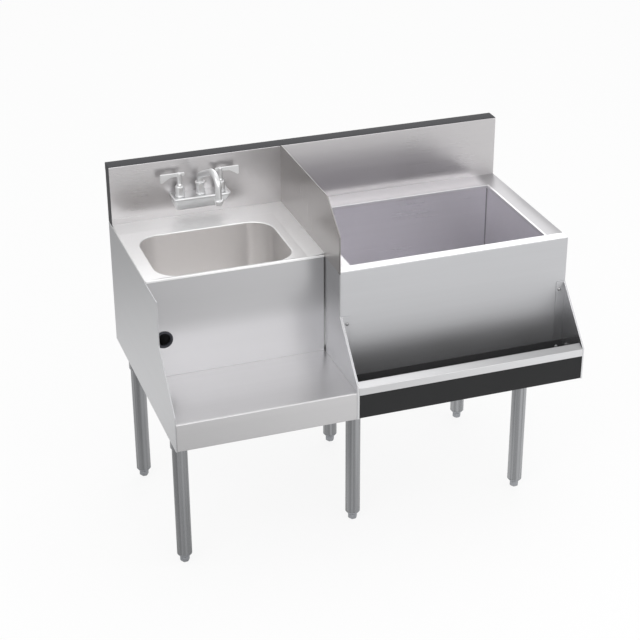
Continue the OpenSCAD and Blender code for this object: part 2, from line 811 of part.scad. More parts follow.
// Bottom pan of the bin, folded down along its front and back edges
module bin_bottom_pan() {
    back = 1.5 * sheet + lay_gap;
    front = bin_depth - 1.5 * sheet - lay_gap;
    floor_z = pan_z + sheet / 2;
    color("silver") from_wall() difference() {
        translate([rail_x0, 0, 0]) along_width(unit_w - sheet - lay_gap - rail_x0)
            fold([[back, pan_z - hem_w], [back, floor_z], [front, floor_z], [front, pan_z - hem_w]]);
        translate([liner_mid_x, liner_mid_y, pan_z]) cylinder(r = bin_drain_r, h = 4 * sheet, center = true);
    }
}

// Bin drain: flange in the liner, pipe down through the insulation and the pan, narrower end for a hose
module bin_drain() {
    pipe_r = bin_drain_r - fixed_fit;
    top = liner_floor_z + 2 * lay_gap;
    shoulder_z = pan_z - 2 * lay_gap - lock_nut_h;
    end_z = shoulder_z - hose_end_l;
    color("silver") from_wall() translate([liner_mid_x, liner_mid_y, 0]) difference() {
        union() {
            translate([0, 0, shoulder_z]) cylinder(r = pipe_r, h = top - shoulder_z);
            translate([0, 0, liner_floor_z + lay_gap])
                cylinder(r = pipe_r + drain_flange_w, h = drain_flange_t);
            translate([0, 0, end_z]) cylinder(r = hose_end_r, h = top - end_z);
        }
        translate([0, 0, end_z - far / 2]) cylinder(r = hose_end_r - drain_wall, h = far);
    }
}

module bin_drain_nut() {
    color("goldenrod") from_wall() translate([liner_mid_x, liner_mid_y, pan_z - lay_gap - lock_nut_h])
        lugged_ring(bin_drain_r, bin_drain_r + lock_nut_w, lock_nut_h);
}

// ---- speed rail ----

// End plate in the left end's place: in-turned front edge, fixing flange on the bin's front
module rail_end() {
    rear = bin_depth + lay_gap;
    module outline() {
        polygon([
            [rear, body_z], [unit_depth, body_z], [unit_depth, rail_nose_z], [rear, knee_z]
        ]);
    }
    difference() {
        union() {
            along_width(sheet) outline();
            along_width(end_edge_w) intersection() {
                outline();
                fold([[unit_depth, body_z], [unit_depth, rail_nose_z], [rear, knee_z]], 2 * sheet);
            }
            translate([0, rear, body_z]) cube([end_flange_w, sheet, knee_z - body_z]);
        }
        for (z = screw_heights)
            translate([screw_inset, rear, z]) rotate([-90, 0, 0])
                cylinder(r = screw_r + fixed_fit, h = 2 * screw_l, center = true);
    }
}

module rail_end_left() {
    color("silver") from_wall() translate([rail_x0, 0, 0]) rail_end();
}

module rail_end_right() {
    color("silver") from_wall() translate([unit_w, 0, 0]) mirror([1, 0, 0]) rail_end();
}

// Dark U-shaped trough that holds the bottles, screwed on through its rear wall
module rail_trough() {
    x0 = rail_x0 + sheet + lay_gap;
    back = trough_back_y + trough_t / 2;
    front = unit_depth - sheet - lay_gap - trough_t / 2;
    floor_z = body_z + trough_t / 2;
    color([0.16, 0.165, 0.17]) from_wall() difference() {
        translate([x0, 0, 0]) along_width(unit_w - sheet - lay_gap - x0) fold([
            [back, body_z + trough_back_h], [back, floor_z], [front, floor_z],
            [front, cap_low_z + cap_h - sheet]
        ], trough_t);
        at_rail_screws() cylinder(r = screw_r + fixed_fit, h = 4 * screw_l, center = true);
    }
}

// Steel cap over the trough's front wall: upright band, sloped band, turned-down inner edge
module rail_cap() {
    x0 = rail_x0 + end_edge_w + lay_gap;
    face = unit_depth - sheet / 2;
    bend_z = cap_low_z + cap_h - sheet / 2;
    inner = unit_depth - cap_run;
    inner_z = cap_low_z + cap_h + cap_rise - sheet / 2;
    color("whitesmoke") from_wall() translate([x0, 0, 0])
        along_width(unit_w - end_edge_w - lay_gap - x0)
            fold([[face, cap_low_z], [face, bend_z], [inner, inner_z], [inner, inner_z - hem_w]]);
}

// Places children on the screws' axes at the bin's front face, pointing forward; upper, lower or both rows
module at_rail_screws(rows = screw_heights) {
    for (x = [rail_x0 + screw_inset, unit_w - screw_inset], z = rows)
        translate([x, bin_depth, z]) rotate([-90, 0, 0]) children();
}

// Domed screws: the upper ones hold the end plates, the lower ones the end plates and the trough
module rail_screws() {
    color("white") from_wall() {
        at_rail_screws([screw_heights[0]]) screw(sheet + 2 * lay_gap);
        at_rail_screws([screw_heights[1]]) screw(sheet + 3 * lay_gap + trough_t);
    }
}

// Screw whose head rests at the given height
module screw(grip) {
    translate([0, 0, grip - screw_l]) cylinder(r = screw_r, h = screw_l + screw_head_h / 2);
    translate([0, 0, grip]) rotate_extrude() intersection() {
        translate([0, screw_head_h - screw_dome_r]) circle(screw_dome_r);
        square([screw_head_r, screw_head_h]);
    }
}

// ---- faucet ----

// Cast body: face and sides taper in to a narrow underside, a raised lip round the level top
module faucet_body() {
    back = splash_t + lay_gap;
    front = splash_t + faucet_proj;
    half_w = faucet_w / 2;
    toe_w = half_w - faucet_taper;
    lip_z = plate_z - lip_r;
    bead_z = plate_z - 2 * lip_r;
    color("lightgray") from_wall() translate([faucet_x, 0, 0]) difference() {
        intersection() {
            translate([-half_w, 0, 0]) along_width(faucet_w) {
                polygon([
                    [back, faucet_low_z], [splash_t + faucet_toe, faucet_low_z], [front - lip_r, bead_z],
                    [front, lip_z], [front - lip_r, plate_z], [back, plate_z]
                ]);
                translate([front - lip_r, lip_z]) circle(lip_r);
            }
            translate([0, back, 0]) along_depth(front - back) {
                polygon([
                    [-toe_w, faucet_low_z], [toe_w, faucet_low_z], [half_w - lip_r, bead_z],
                    [half_w, lip_z], [half_w - lip_r, plate_z], [lip_r - half_w, plate_z],
                    [-half_w, lip_z], [lip_r - half_w, bead_z]
                ]);
                for (x = [lip_r - half_w, half_w - lip_r]) translate([x, lip_z]) circle(lip_r);
            }
            translate([-half_w, back - faucet_corner_r, faucet_low_z - lip_r])
                linear_extrude(faucet_body_h + 2 * lip_r)
                    rounded([faucet_w, front - back + faucet_corner_r], faucet_corner_r);
        }
        translate([lip_w - half_w, back - faucet_corner_r, plate_z - lip_rise]) linear_extrude(2 * lip_rise)
            rounded([faucet_w - 2 * lip_w, front - back + faucet_corner_r - lip_w], faucet_corner_r - lip_w);
        for (x = [-valve_spread / 2, 0, valve_spread / 2])
            translate([x, valve_y, plate_z - valve_seat_depth])
                cylinder(r = spigot_r + fixed_fit, h = 2 * valve_seat_depth);
        for (x = [-shank_spread / 2, shank_spread / 2])
            translate([x, back, shank_z]) rotate([-90, 0, 0])
                cylinder(r = shank_r + fixed_fit, h = 2 * (shank_depth + fixed_fit), center = true);
    }
}

// Threaded inlet shanks, from the faucet body back through the splash, stepped down for the supply nuts
module faucet_shanks() {
    length = shank_back + shank_depth;
    color("goldenrod") from_wall() at_shanks() rotate([-90, 0, 0])
        translate([0, 0, -shank_back]) difference() {
            union() {
                cylinder(r = shank_end_r, h = length);
                translate([0, 0, shank_end_l]) cylinder(r = shank_r, h = length - shank_end_l);
            }
            translate([0, 0, -length]) cylinder(r = shank_end_r - shank_wall, h = 3 * length);
        }
}

// Hexagonal lock nuts behind the splash
module faucet_shank_nuts() {
    color("goldenrod") from_wall() at_shanks() rotate([-90, 0, 0])
        translate([0, 0, -sheet - 2 * lay_gap - shank_nut_h]) difference() {
            cylinder(d = shank_nut_w, h = shank_nut_h, $fn = 6);
            translate([0, 0, -shank_nut_h]) cylinder(r = shank_r + fixed_fit, h = 3 * shank_nut_h);
        }
}

// Places children on the shanks' axes at the back of the faucet body
module at_shanks() {
    for (side = [-1, 1])
        translate([faucet_x + side * shank_spread / 2, splash_t + lay_gap, shank_z]) children();
}

// Valve bonnet: spigot in the body, wider foot, barrel with a bevelled top, bore for the stem
module valve_bonnet() {
    seat_z = plate_z - lip_rise + lay_gap;
    height = bonnet_z - seat_z;
    barrel_r = bonnet_r - bonnet_step;
    color("gainsboro") translate([0, valve_y, 0]) difference() {
        union() {
            translate([0, 0, plate_z - valve_seat_depth + lay_gap])
                cylinder(r = spigot_r, h = valve_seat_depth);
            translate([0, 0, seat_z]) rotate_extrude() polygon([
                [0, 0], [bonnet_r, 0], [bonnet_r, bonnet_foot_h], [barrel_r, bonnet_foot_h + bonnet_step],
                [barrel_r, height - bonnet_bevel], [barrel_r - bonnet_bevel, height], [0, height]
            ]);
        }
        translate([0, 0, plate_z - valve_seat_depth + valve_floor_t]) cylinder(r = stem_r + running, h = far);
    }
}

module valve_bonnet_left() {
    from_wall() translate([faucet_x - valve_spread / 2, 0, 0]) valve_bonnet();
}

module valve_bonnet_right() {
    from_wall() translate([faucet_x + valve_spread / 2, 0, 0]) valve_bonnet();
}

// Stem: turns in the bonnet and carries the handle
module valve_stem() {
    low = plate_z - valve_seat_depth + valve_floor_t + stem_gap;
    color("goldenrod") translate([0, valve_y, low]) cylinder(r = stem_r, h = bonnet_z + stem_grip - low);
}

module valve_stem_left() {
    from_wall() translate([faucet_x - valve_spread / 2, 0, 0]) valve_stem();
}

module valve_stem_right() {
    from_wall() translate([faucet_x + valve_spread / 2, 0, 0]) valve_stem();
}

// Lever handle pointing to +x: flared skirt, upright hub, upright blade that widens to its outer end
module handle() {
    skirt_z = bonnet_z + handle_gap;
    height = blade_z - skirt_z - hub_bevel;
    neck_z = blade_z - blade_neck_h;
    end_r = (blade_neck_h - blade_corner) / 2;
    color("gainsboro") translate([0, valve_y, 0]) difference() {
        union() {
            translate([0, 0, skirt_z]) rotate_extrude() polygon([
                [0, 0], [handle_hub_r + skirt_flare, 0], [handle_hub_r, skirt_h],
                [handle_hub_r, height - hub_bevel], [handle_hub_r - hub_bevel, height], [0, height]
            ]);
            translate([0, blade_t / 2, 0]) rotate([90, 0, 0]) linear_extrude(blade_t) {
                polygon([
                    [end_r - blade_back_l, neck_z], [blade_l * blade_neck_share, neck_z],
                    [blade_l - blade_corner, blade_z - blade_h], [blade_l, blade_z - blade_h + blade_corner],
                    [blade_l, blade_z - blade_corner], [blade_l - blade_corner, blade_z],
                    [end_r - blade_back_l, blade_z - blade_corner]
                ]);
                translate([end_r - blade_back_l, neck_z + end_r]) circle(end_r);
            }
        }
        translate([0, 0, skirt_z - handle_gap]) cylinder(r = stem_r + fixed_fit, h = stem_grip + handle_gap);
    }
}

module handle_left() {
    from_wall() translate([faucet_x - valve_spread / 2, 0, 0]) mirror([1, 0, 0]) handle();
}

module handle_right() {
    from_wall() translate([faucet_x + valve_spread / 2, 0, 0]) handle();
}

// Spout nut: spigot in the body, barrel, flanged collar that holds the turning spout
module spout_nut() {
    seat_z = plate_z - lip_rise + lay_gap;
    color("gainsboro") from_wall() translate([faucet_x, valve_y, 0]) difference() {
        union() {
            translate([0, 0, plate_z - valve_seat_depth + lay_gap])
                cylinder(r = spigot_r, h = valve_seat_depth);
            translate([0, 0, seat_z]) rotate_extrude() polygon([
                [0, 0], [spout_barrel_r, 0], [spout_barrel_r, spout_nut_h - collar_h - collar_bevel],
                [spout_collar_r, spout_nut_h - collar_h], [spout_collar_r, spout_nut_h - collar_bevel],
                [spout_collar_r - collar_bevel, spout_nut_h], [0, spout_nut_h]
            ]);
        }
        translate([0, 0, seat_z]) cylinder(r = spout_r + running, h = far);
        translate([0, 0, plate_z - 2 * valve_seat_depth]) cylinder(r = spout_r - spout_wall, h = far);
    }
}

// Spout: riser, tight bend, rising run, wide bend down to the mouth, one tube with a clear bore
module spout() {
    color("white") from_wall() translate([faucet_x, valve_y, 0]) rotate(90 - spout_turn) difference() {
        spout_path(spout_r, 0);
        spout_path(spout_r - spout_wall, 1);
    }
}

// Solid along the spout's centre line in the (x, z) plane, lengthened at both ends by over
module spout_path(r, over) {
    turn = 90 - spout_slope;
    bend_r = r - bend_fit;
    lap = 4 * bend_fit;
    foot_z = plate_z - lip_rise + lay_gap + spout_floor_gap;
    mouth_z = plate_z + spout_mouth_h;
    bend_x = spout_bend_r * (1 - cos(turn));
    run = (spout_reach - bend_x - spout_crook_r * (1 + sin(spout_slope))) / cos(spout_slope);
    run_rise = spout_bend_r * sin(turn) + run * sin(spout_slope);
    crook_rise = run_rise - spout_crook_r * cos(spout_slope);
    riser_top = plate_z + spout_rise - spout_r - spout_crook_r - crook_rise;
    translate([0, 0, foot_z - over]) cylinder(r = r, h = riser_top - foot_z + over + lap);
    translate([spout_bend_r, 0, riser_top]) rotate([90, 0, 0]) rotate(180 - turn)
        rotate_extrude(angle = turn) translate([spout_bend_r, 0]) circle(bend_r);
    translate([bend_x, 0, riser_top + spout_bend_r * sin(turn)]) rotate([0, turn, 0])
        translate([0, 0, -lap]) cylinder(r = r, h = run + 2 * lap);
    translate([spout_reach - spout_crook_r, 0, riser_top + crook_rise]) rotate([90, 0, 0])
        rotate_extrude(angle = 90 + spout_slope) translate([spout_crook_r, 0]) circle(bend_r);
    translate([spout_reach, 0, mouth_z - over])
        cylinder(r = r, h = riser_top + crook_rise - mouth_z + over + lap);
}

// Aerator: flanged ring round the spout's mouth and a short nozzle below
module aerator() {
    nozzle_r = aerator_r - nozzle_step;
    ring_z = aerator_h - aerator_ring_h;
    top = aerator_h + aerator_sleeve_h;
    color("gainsboro") from_wall() translate([faucet_x, valve_y, plate_z + spout_mouth_h - aerator_h])
        rotate(90 - spout_turn) translate([spout_reach, 0, 0]) difference() {
            rotate_extrude() polygon([
                [0, 0], [nozzle_r - 1, 0], [nozzle_r, 1], [nozzle_r, ring_z - 1], [aerator_r, ring_z],
                [aerator_r, aerator_h], [aerator_r - 1, top], [0, top]
            ]);
            translate([0, 0, aerator_h - lay_gap]) cylinder(r = spout_r + fixed_fit, h = far);
            translate([0, 0, -far / 2]) cylinder(r = spout_r - 2 * spout_wall, h = far);
        }
}

// ---- legs ----

// Leg tube between the foot insert and its socket
module leg(place) {
    color("darkgray") from_wall() translate([place[0], place[1], insert_top_z])
        ring(leg_d / 2 - leg_wall, leg_d / 2, leg_top_z - insert_top_z);
}

module leg_front_left() { leg(leg_places[0]); }

module leg_front_mid() { leg(leg_places[1]); }

module leg_front_right() { leg(leg_places[2]); }

module leg_back_left() { leg(leg_places[3]); }

module leg_back_mid() { leg(leg_places[4]); }

module leg_back_right() { leg(leg_places[5]); }

// Sockets: plate welded to the body's underside, collar round the leg's upper end
module leg_sockets() {
    half = socket_plate_w / 2;
    color("silver") from_wall() for (place = leg_places)
        translate([place[0], place[1], body_z - lay_gap - socket_plate_t]) {
            translate([-half, -half, 0]) cube([socket_plate_w, socket_plate_w, socket_plate_t]);
            translate([0, 0, -socket_collar_h])
                ring(leg_d / 2 + fixed_fit, socket_r, socket_collar_h);
        }
}

// Tapered inserts in the legs' lower ends, bored for the feet
module leg_inserts() {
    rim_z = insert_h - insert_rim_h;
    color("gray") from_wall() for (place = leg_places) translate([place[0], place[1], foot_h]) difference() {
        union() {
            rotate_extrude() polygon([
                [0, lay_gap], [foot_w / 2, lay_gap], [leg_d / 2, rim_z], [leg_d / 2, insert_h - lay_gap],
                [0, insert_h - lay_gap]
            ]);
            translate([0, 0, rim_z]) cylinder(r = leg_d / 2 - leg_wall - fixed_fit, h = insert_plug_l);
        }
        translate([0, 0, -insert_h]) cylinder(r = foot_stem_r + running, h = far);
    }
}

// Adjustable foot: hexagonal pad with a bevelled lower edge, and the stem that screws into the insert
module foot(place) {
    corner_r = foot_w / 2;
    color("dimgray") from_wall() translate([place[0], place[1], 0]) {
        cylinder(r = foot_stem_r, h = foot_h + foot_stem_l);
        intersection() {
            cylinder(r = corner_r, h = foot_h, $fn = 6);
            rotate_extrude() polygon([
                [0, 0], [corner_r - foot_bevel, 0], [corner_r, foot_bevel], [corner_r, foot_h], [0, foot_h]
            ]);
        }
    }
}

module foot_front_left() { foot(leg_places[0]); }

module foot_front_mid() { foot(leg_places[1]); }

module foot_front_right() { foot(leg_places[2]); }

module foot_back_left() { foot(leg_places[3]); }

module foot_back_mid() { foot(leg_places[4]); }

module foot_back_right() { foot(leg_places[5]); }

backsplash();
back_panel();
side_panel_left();
side_panel_mid();
side_panel_right();
divider();
sink_deck();
sink_bowl();
sink_drain();
sink_drain_gasket();
sink_drain_nut();
sink_slip_nut();
sink_tailpiece();
apron();
cord_grommet();
drop_shelf();
leg_channels();
bin_front();
bin_rim();
bin_liner();
bin_insulation();
bin_bottom_pan();
bin_drain();
bin_drain_nut();
rail_end_left();
rail_end_right();
rail_trough();
rail_cap();
rail_screws();
faucet_body();
faucet_shanks();
faucet_shank_nuts();
valve_bonnet_left();
valve_bonnet_right();
valve_stem_left();
valve_stem_right();
handle_left();
handle_right();
spout_nut();
spout();
aerator();
leg_front_left();
leg_front_mid();
leg_front_right();
leg_back_left();
leg_back_mid();
leg_back_right();
leg_sockets();
leg_inserts();
foot_front_left();
foot_front_mid();
foot_front_right();
foot_back_left();
foot_back_mid();
foot_back_right();
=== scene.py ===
"""Underbar station: bar sink with drop shelf and wall faucet, ice bin with bottle rail, on tube legs."""
import math

import bmesh
import bpy
import numpy as np
from mathutils import Matrix, Vector


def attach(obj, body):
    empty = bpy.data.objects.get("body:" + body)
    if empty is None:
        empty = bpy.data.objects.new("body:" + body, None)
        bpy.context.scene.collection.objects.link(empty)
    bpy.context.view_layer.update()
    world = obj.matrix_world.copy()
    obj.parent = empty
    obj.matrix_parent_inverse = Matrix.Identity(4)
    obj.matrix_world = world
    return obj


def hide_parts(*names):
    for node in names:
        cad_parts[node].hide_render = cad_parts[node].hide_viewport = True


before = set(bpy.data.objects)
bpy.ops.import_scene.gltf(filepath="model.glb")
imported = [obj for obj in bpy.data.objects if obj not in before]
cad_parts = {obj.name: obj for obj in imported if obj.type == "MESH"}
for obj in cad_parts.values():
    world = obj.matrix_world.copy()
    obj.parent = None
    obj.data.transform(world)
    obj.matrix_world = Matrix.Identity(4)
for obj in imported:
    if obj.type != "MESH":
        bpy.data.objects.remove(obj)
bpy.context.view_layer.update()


def linked(name, data):
    """A new object of the data, in the scene."""
    item = bpy.data.objects.new(name, data)
    bpy.context.scene.collection.objects.link(item)
    return item


# ---- camera, fitted to the photograph's straight edges ----

CAMERA_PLACE = (-1.3074, -3.5761, 2.4380)
CAMERA_YAW = math.radians(19.16)
CAMERA_PITCH = math.radians(-27.14)
CAMERA_ROLL = math.radians(-0.29)
CAMERA_LENS, CAMERA_SENSOR = 93.2, 36.0


def make_camera():
    """Camera at the photograph's place: yaw turns it from +Y to +X, pitch tips it down, roll is on its axis."""
    data = bpy.data.cameras.new("photo_camera")
    data.sensor_fit = "HORIZONTAL"
    data.sensor_width = CAMERA_SENSOR
    data.lens = CAMERA_LENS
    data.clip_end = 50.0
    camera = linked("photo_camera", data)
    turn = (Matrix.Rotation(-CAMERA_YAW, 4, "Z") @ Matrix.Rotation(math.pi / 2 + CAMERA_PITCH, 4, "X")
            @ Matrix.Rotation(CAMERA_ROLL, 4, "Z"))
    camera.matrix_world = Matrix.Translation(CAMERA_PLACE) @ turn
    bpy.context.scene.camera = camera


make_camera()

# ---- sizes, in millimetres: from the left end, forward from the wall, up from the floor ----

UNIT_W, UNIT_DEPTH = 1067.0, 620.0
BODY_Z, DECK_Z, TOP_Z = 375.0, 717.0, 880.0
GAUGE, HEM, GAP = 1.5, 3.0, 0.1
HALF, LAP = GAUGE / 2, GAUGE + GAP      # from a sheet's face to its middle; to a sheet laid against it
EASE = 0.02                             # keeps faces of neighbouring sheets from lying in one plane
SPLASH_T, SPLASH_LIP = 42.0, 20.0
DECK_W, DECK_DEPTH, DECK_HEM, DECK_ROLL = 454.9, 385.0, 6.0, 2.5
LEDGE_BACK, LEDGE_SIDE, LEDGE_H = 58.0, 44.0, 5.0
BOWL_MID, BOWL_SIZE, BOWL_CORNER, BOWL_FLOOR = (213.0, 254.2), (350.0, 250.0), 60.0, 475.5
DRAIN_R = 22.0
DIVIDER_X = 455.0
BIN_X0, BIN_DEPTH = 458.1, 495.0
RIM_X0, RIM_SIDE, RIM_BACK, RIM_DROP, RIM_FLAT, RIM_NOSE = 456.6, 42.0, 54.0, 8.0, 2.0, 7.0
HOLE_X0, HOLE_X1, HOLE_Y0, HOLE_Y1 = 500.0, 1025.0, 96.0, 462.0
LINER_FLOOR_Z, LINER_FLOOR_R, LINER_CORNER = 437.4, 16.0, 2.6
SHELF_Z, SHELF_BACK = 450.0, 361.0
CORD_X, CORD_Z, CORD_R = 40.0, 553.0, 20.0
PANEL_TOP, NOSE_Z, KNEE_Z = 713.9, 470.0, 597.0
RAIL_NOSE, RAIL_NOSE_Z = 4.0, 463.0
CAP_LOW, CAP_H, CAP_RUN, CAP_RISE = 441.0, 20.0, 20.0, 10.0
FAUCET_X, VALVE_Y, PLATE_Z = 229.0, 70.0, 791.0
SEAT_Z = PLATE_Z - 1.9
VALVE_SPREAD = 108.0
SPOUT_REACH, SPOUT_R, SPOUT_TURN = 124.0, 8.5, math.radians(90.0 - 6.4)
LEG_R = 19.05
LEGS = {"front_left": (30.0, 529.0), "front_mid": (493.0, 491.0), "front_right": (957.0, 491.0),
        "back_left": (30.0, 104.0), "back_mid": (568.0, 104.0), "back_right": (957.0, 104.0)}


def in_metres(points):
    """Wall millimetres to the object's own metres: centred on the plan, y turned to point at the wall."""
    points = np.asarray(points, float)
    return np.stack([points[..., 0] - UNIT_W / 2, UNIT_DEPTH / 2 - points[..., 1], points[..., 2]], -1) / 1000.0


# ---- shader maths ----


class Wire:
    """A shader socket with arithmetic: an expression on wires adds its Math nodes."""

    def __init__(self, paint, socket):
        self.paint = paint
        self.socket = socket

    def _maths(self, operation, *values):
        return self.paint.node("ShaderNodeMath", {"operation": operation}, dict(enumerate(values)))

    def __add__(self, other):
        return self._maths("ADD", self, other)

    __radd__ = __add__

    def __sub__(self, other):
        return self._maths("SUBTRACT", self, other)

    def __rsub__(self, other):
        return self._maths("SUBTRACT", other, self)

    def __mul__(self, other):
        return self._maths("MULTIPLY", self, other)

    def least(self, other):
        return self._maths("MINIMUM", self, other)

    def most(self, other):
        return self._maths("MAXIMUM", self, other)

    def root(self):
        return self._maths("SQRT", self)

    def size(self):
        return self._maths("ABSOLUTE", self)

    def held(self, low, high):
        """Smooth step from 0 at low to 1 at high."""
        return self.paint.node("ShaderNodeMapRange", {"interpolation_type": "SMOOTHSTEP"},
                               {"Value": self, "From Min": low, "From Max": high})


class Nodes:
    """A node tree that is written as expressions."""

    def __init__(self, tree):
        self.tree = tree

    def node(self, kind, settings=(), values=(), output=0):
        """A node of a kind: its settings first, then its sockets' values or links."""
        made = self.tree.nodes.new(kind)
        for key, value in dict(settings).items():
            setattr(made, key, value)
        for key, value in dict(values).items():
            self.feed(made.inputs[key], value)
        return Wire(self, made.outputs[output])

    def feed(self, socket, value):
        """A wire is linked; a number or colour is set on the socket."""
        if isinstance(value, Wire):
            self.tree.links.new(value.socket, socket)
        elif socket.type == "RGBA":
            socket.default_value = tuple(value) + (1.0,)
        else:
            socket.default_value = value

    def place(self):
        """The place on the object, in its own metres."""
        return self.node("ShaderNodeTexCoord", output=3)

    def axes(self, source=None):
        """The x, y and z of a vector, by default of the place on the object."""
        source = source or self.place()
        return [self.node("ShaderNodeSeparateXYZ", {}, {0: source}, output=axis) for axis in range(3)]

    def noise(self, detail, rough, scale):
        """Noise over the place on the object; a scale for each axis stretches it."""
        vector = self.place()
        if isinstance(scale, tuple):
            vector, scale = self.node("ShaderNodeMapping", {}, {"Vector": vector, "Scale": scale}), 1.0
        return self.node("ShaderNodeTexNoise", {}, {"Vector": vector, "Scale": scale, "Detail": detail,
                                                   "Roughness": rough})

    def step(self, axis, first, last):
        """Smooth step from 0 to 1 between two places along an axis, given in wall millimetres."""
        index = "xyz".index(axis)
        low, high = in_metres([[first] * 3, [last] * 3])[:, index]
        return self.axes()[index].held(float(low), float(high))

    def mix(self, share, first, second):
        """Colour between two colours."""
        return self.node("ShaderNodeMix", {"data_type": "RGBA"}, {0: share, 6: first, 7: second}, output=2)

    def bump(self, height, distance, strength):
        return self.node("ShaderNodeBump", {}, {"Height": height, "Distance": distance, "Strength": strength})


class Paint(Nodes):
    """A material's nodes; the principled shader is filled at the end."""

    def __init__(self, name):
        self.material = bpy.data.materials.new(name)
        self.material.use_nodes = True
        super().__init__(self.material.node_tree)
        self.shader = self.tree.nodes["Principled BSDF"]

    def fill(self, **sockets):
        """Fills the principled shader's sockets; a name's underscores stand for spaces."""
        for key, value in sockets.items():
            self.feed(self.shader.inputs[key.replace("_", " ")], value)
        return self.material


# ---- finishes ----

BLACK = (0.0, 0.0, 0.0)
SCRATCH_SCALE = (3.0, 620.0)
STREAK_SCALE = (1.2, 70.0)


def stretched(along, length, width):
    """Noise scale that is low along one axis and high across it, so that the pattern runs with the axis."""
    return tuple(length if axis == along else width for axis in "xyz")


def shade(tone, tint, level=1.0):
    """A colour: the tone times a tint times a level."""
    return tuple(min(tone * part * level, 1.0) for part in tint)


class Steel(Paint):
    """Brushed stainless steel.

    Its colour is the tone times the tint, varied by long faint streaks and by slow cloudiness; its roughness
    follows a fine scratch pattern that runs with the grain, and the cloudiness."""

    def __init__(self, name, along, tone, tint, rough, grain=1.0):
        super().__init__(name)
        self.scratch = self.noise(2.0, 0.6, stretched(along, *SCRATCH_SCALE))
        streak = self.noise(3.0, 0.55, stretched(along, *STREAK_SCALE))
        cloud = self.noise(2.0, 0.5, 6.0)
        share = self.scratch * 0.35 * grain + streak * 0.45 * grain + cloud * 0.2
        self.colour = self.mix(share, shade(tone, tint, 0.95), shade(tone, tint, 1.05))
        self.roughness = rough - 0.05 + self.scratch * (0.07 * grain) + cloud * 0.05

    def over(self, share, colour=BLACK):
        """Lays a share of another colour over the steel's own."""
        self.colour = self.mix(share, self.colour, colour)
        return self

    def fade(self, axis, clear, dull, level):
        """Dims the colour to a level between two places along an axis: painted shade, standing in for the
        darker reflections the sheet shows there.
        """
        return self.over(self.step(axis, clear, dull) * (1.0 - level))

    def shaded_joint(self, axis, first, last):
        """Darkens what lies past a place near an edge: painted shade, a dark line standing in for the shadow in
        an open joint.
        """
        return self.over(self.step(axis, first, last) * 0.85)

    def done(self, metal, rougher=0.0, lift=0.04):
        """The material; the scratches lift the surface by a few hundredths of a millimetre."""
        return self.fill(Base_Color=self.colour, Metallic=metal, Roughness=self.roughness + rougher,
                         Normal=self.bump(self.scratch, lift / 1000.0, 0.35))


def splash_steel():
    """Backsplash steel: painted shade darkens the face towards the deck, and painted dark shade covers the top
    fold and the end caps, which face away from the light.
    """
    steel = Steel("backsplash_steel", "x", 0.57, (1.01, 0.985, 0.995), 0.28)
    steel.fade("z", 780.0, DECK_Z + 2.0, 0.88)
    ends = steel.step("x", UNIT_W - 0.5, UNIT_W - 0.1) + steel.step("x", 0.5, 0.1)
    # painted shade: the top fold and the end caps are laid over with near black
    away = (steel.step("z", TOP_Z - 1.7, TOP_Z - 1.2) + ends).least(1.0)
    return steel.over(away, (0.075, 0.075, 0.08)).done(0.9, away * 0.36)


def rim_steel():
    """Rim steel with painted highlights: near white laid over the back strip and along its inner edge, standing
    in for light caught there.
    """
    steel = Steel("rim_steel", "x", 0.46, (1.0, 0.985, 1.01), 0.3)
    # painted highlight: the back strip, all but its right end, and the band along the inner edge are laid over
    # with near white
    back = steel.step("y", 120.0, 70.0) * (1.0 - steel.step("x", 1003.5, 1033.5))
    outer_side = steel.step("x", HOLE_X1 + 4.5, HOLE_X1 + 7.0)
    outer_back = steel.step("y", HOLE_Y0 - 1.5, HOLE_Y0 - 3.5)
    inner = (1.0 - outer_side) * (1.0 - outer_back)
    return steel.over(back, (0.96, 0.945, 0.97)).over(inner * 0.8, (0.95, 0.94, 0.96)).done(0.88)


def front_steel():
    """Bin front: coarser grain, and a painted highlight on the level strip on top, laid over with near white
    and made less metallic.
    """
    steel = Steel("bin_front_steel", "x", 0.57, (0.985, 0.99, 1.015), 0.42, 1.4)
    # painted highlight: the top strip is laid over with near white and made less metallic
    top = steel.step("z", DECK_Z - 0.8, DECK_Z - 0.3)
    return steel.over(top, (0.97, 0.97, 0.98)).done(0.94 - top * 0.3, lift=0.056)


def liner_steel():
    """Liner steel: painted shade darkens it towards the floor; a dark welded seam runs down the right rear
    corner.
    """
    steel = Steel("liner_steel", "x", 0.93, (0.99, 0.972, 1.015), 0.28).fade("z", 700.0, 480.0, 0.78)
    corner = steel.step("x", HOLE_X1 - 2.0, HOLE_X1) * steel.step("y", HOLE_Y0 + 2.0, HOLE_Y0)
    seam = corner * steel.step("z", 455.0, 460.0)
    return steel.over(seam, (0.36, 0.35, 0.37)).done(0.84, seam * 0.3)


def bowl_steel():
    """Bowl steel: satin inside, with painted shade dulling its right end; its outer side has a dark
    sound-deadening coat.

    The two sides are told apart by the distance from the bowl's rounded plan: the length of what passes the
    inner rectangle in x and y, less the corner's radius, is nought inside and the wall's 1.2 mm outside."""
    steel = Steel("bowl_satin", "z", 1.0, (1.0, 0.975, 0.965), 0.32, 0.5).fade("x", 323.5, 383.5, 0.74)
    past = [((wire - float(middle)).size() - (side / 2 - BOWL_CORNER) / 1000.0).most(0.0)
            for wire, middle, side in zip(steel.axes(), in_metres((*BOWL_MID, 0.0)), BOWL_SIZE)]
    outside = ((past[0] * past[0] + past[1] * past[1]).root() - BOWL_CORNER / 1000.0).held(0.0004, 0.0008)
    return steel.over(outside, (0.02, 0.02, 0.021)).done(0.84 - outside * 0.84, outside * 0.5, 0.02)


def apron_steel():
    """Apron steel: painted shade dulls it above the cord hole, and a painted dark line stands for the shade in
    its open joint at the right edge.
    """
    steel = Steel("apron_steel", "x", 0.67, (0.985, 0.98, 1.0), 0.3, 0.5)
    steel.fade("z", CORD_Z - 12.0, CORD_Z + 50.0, 0.84).shaded_joint("x", DIVIDER_X - 1.5, DIVIDER_X - 1.1)
    return steel.done(0.94, lift=0.008)


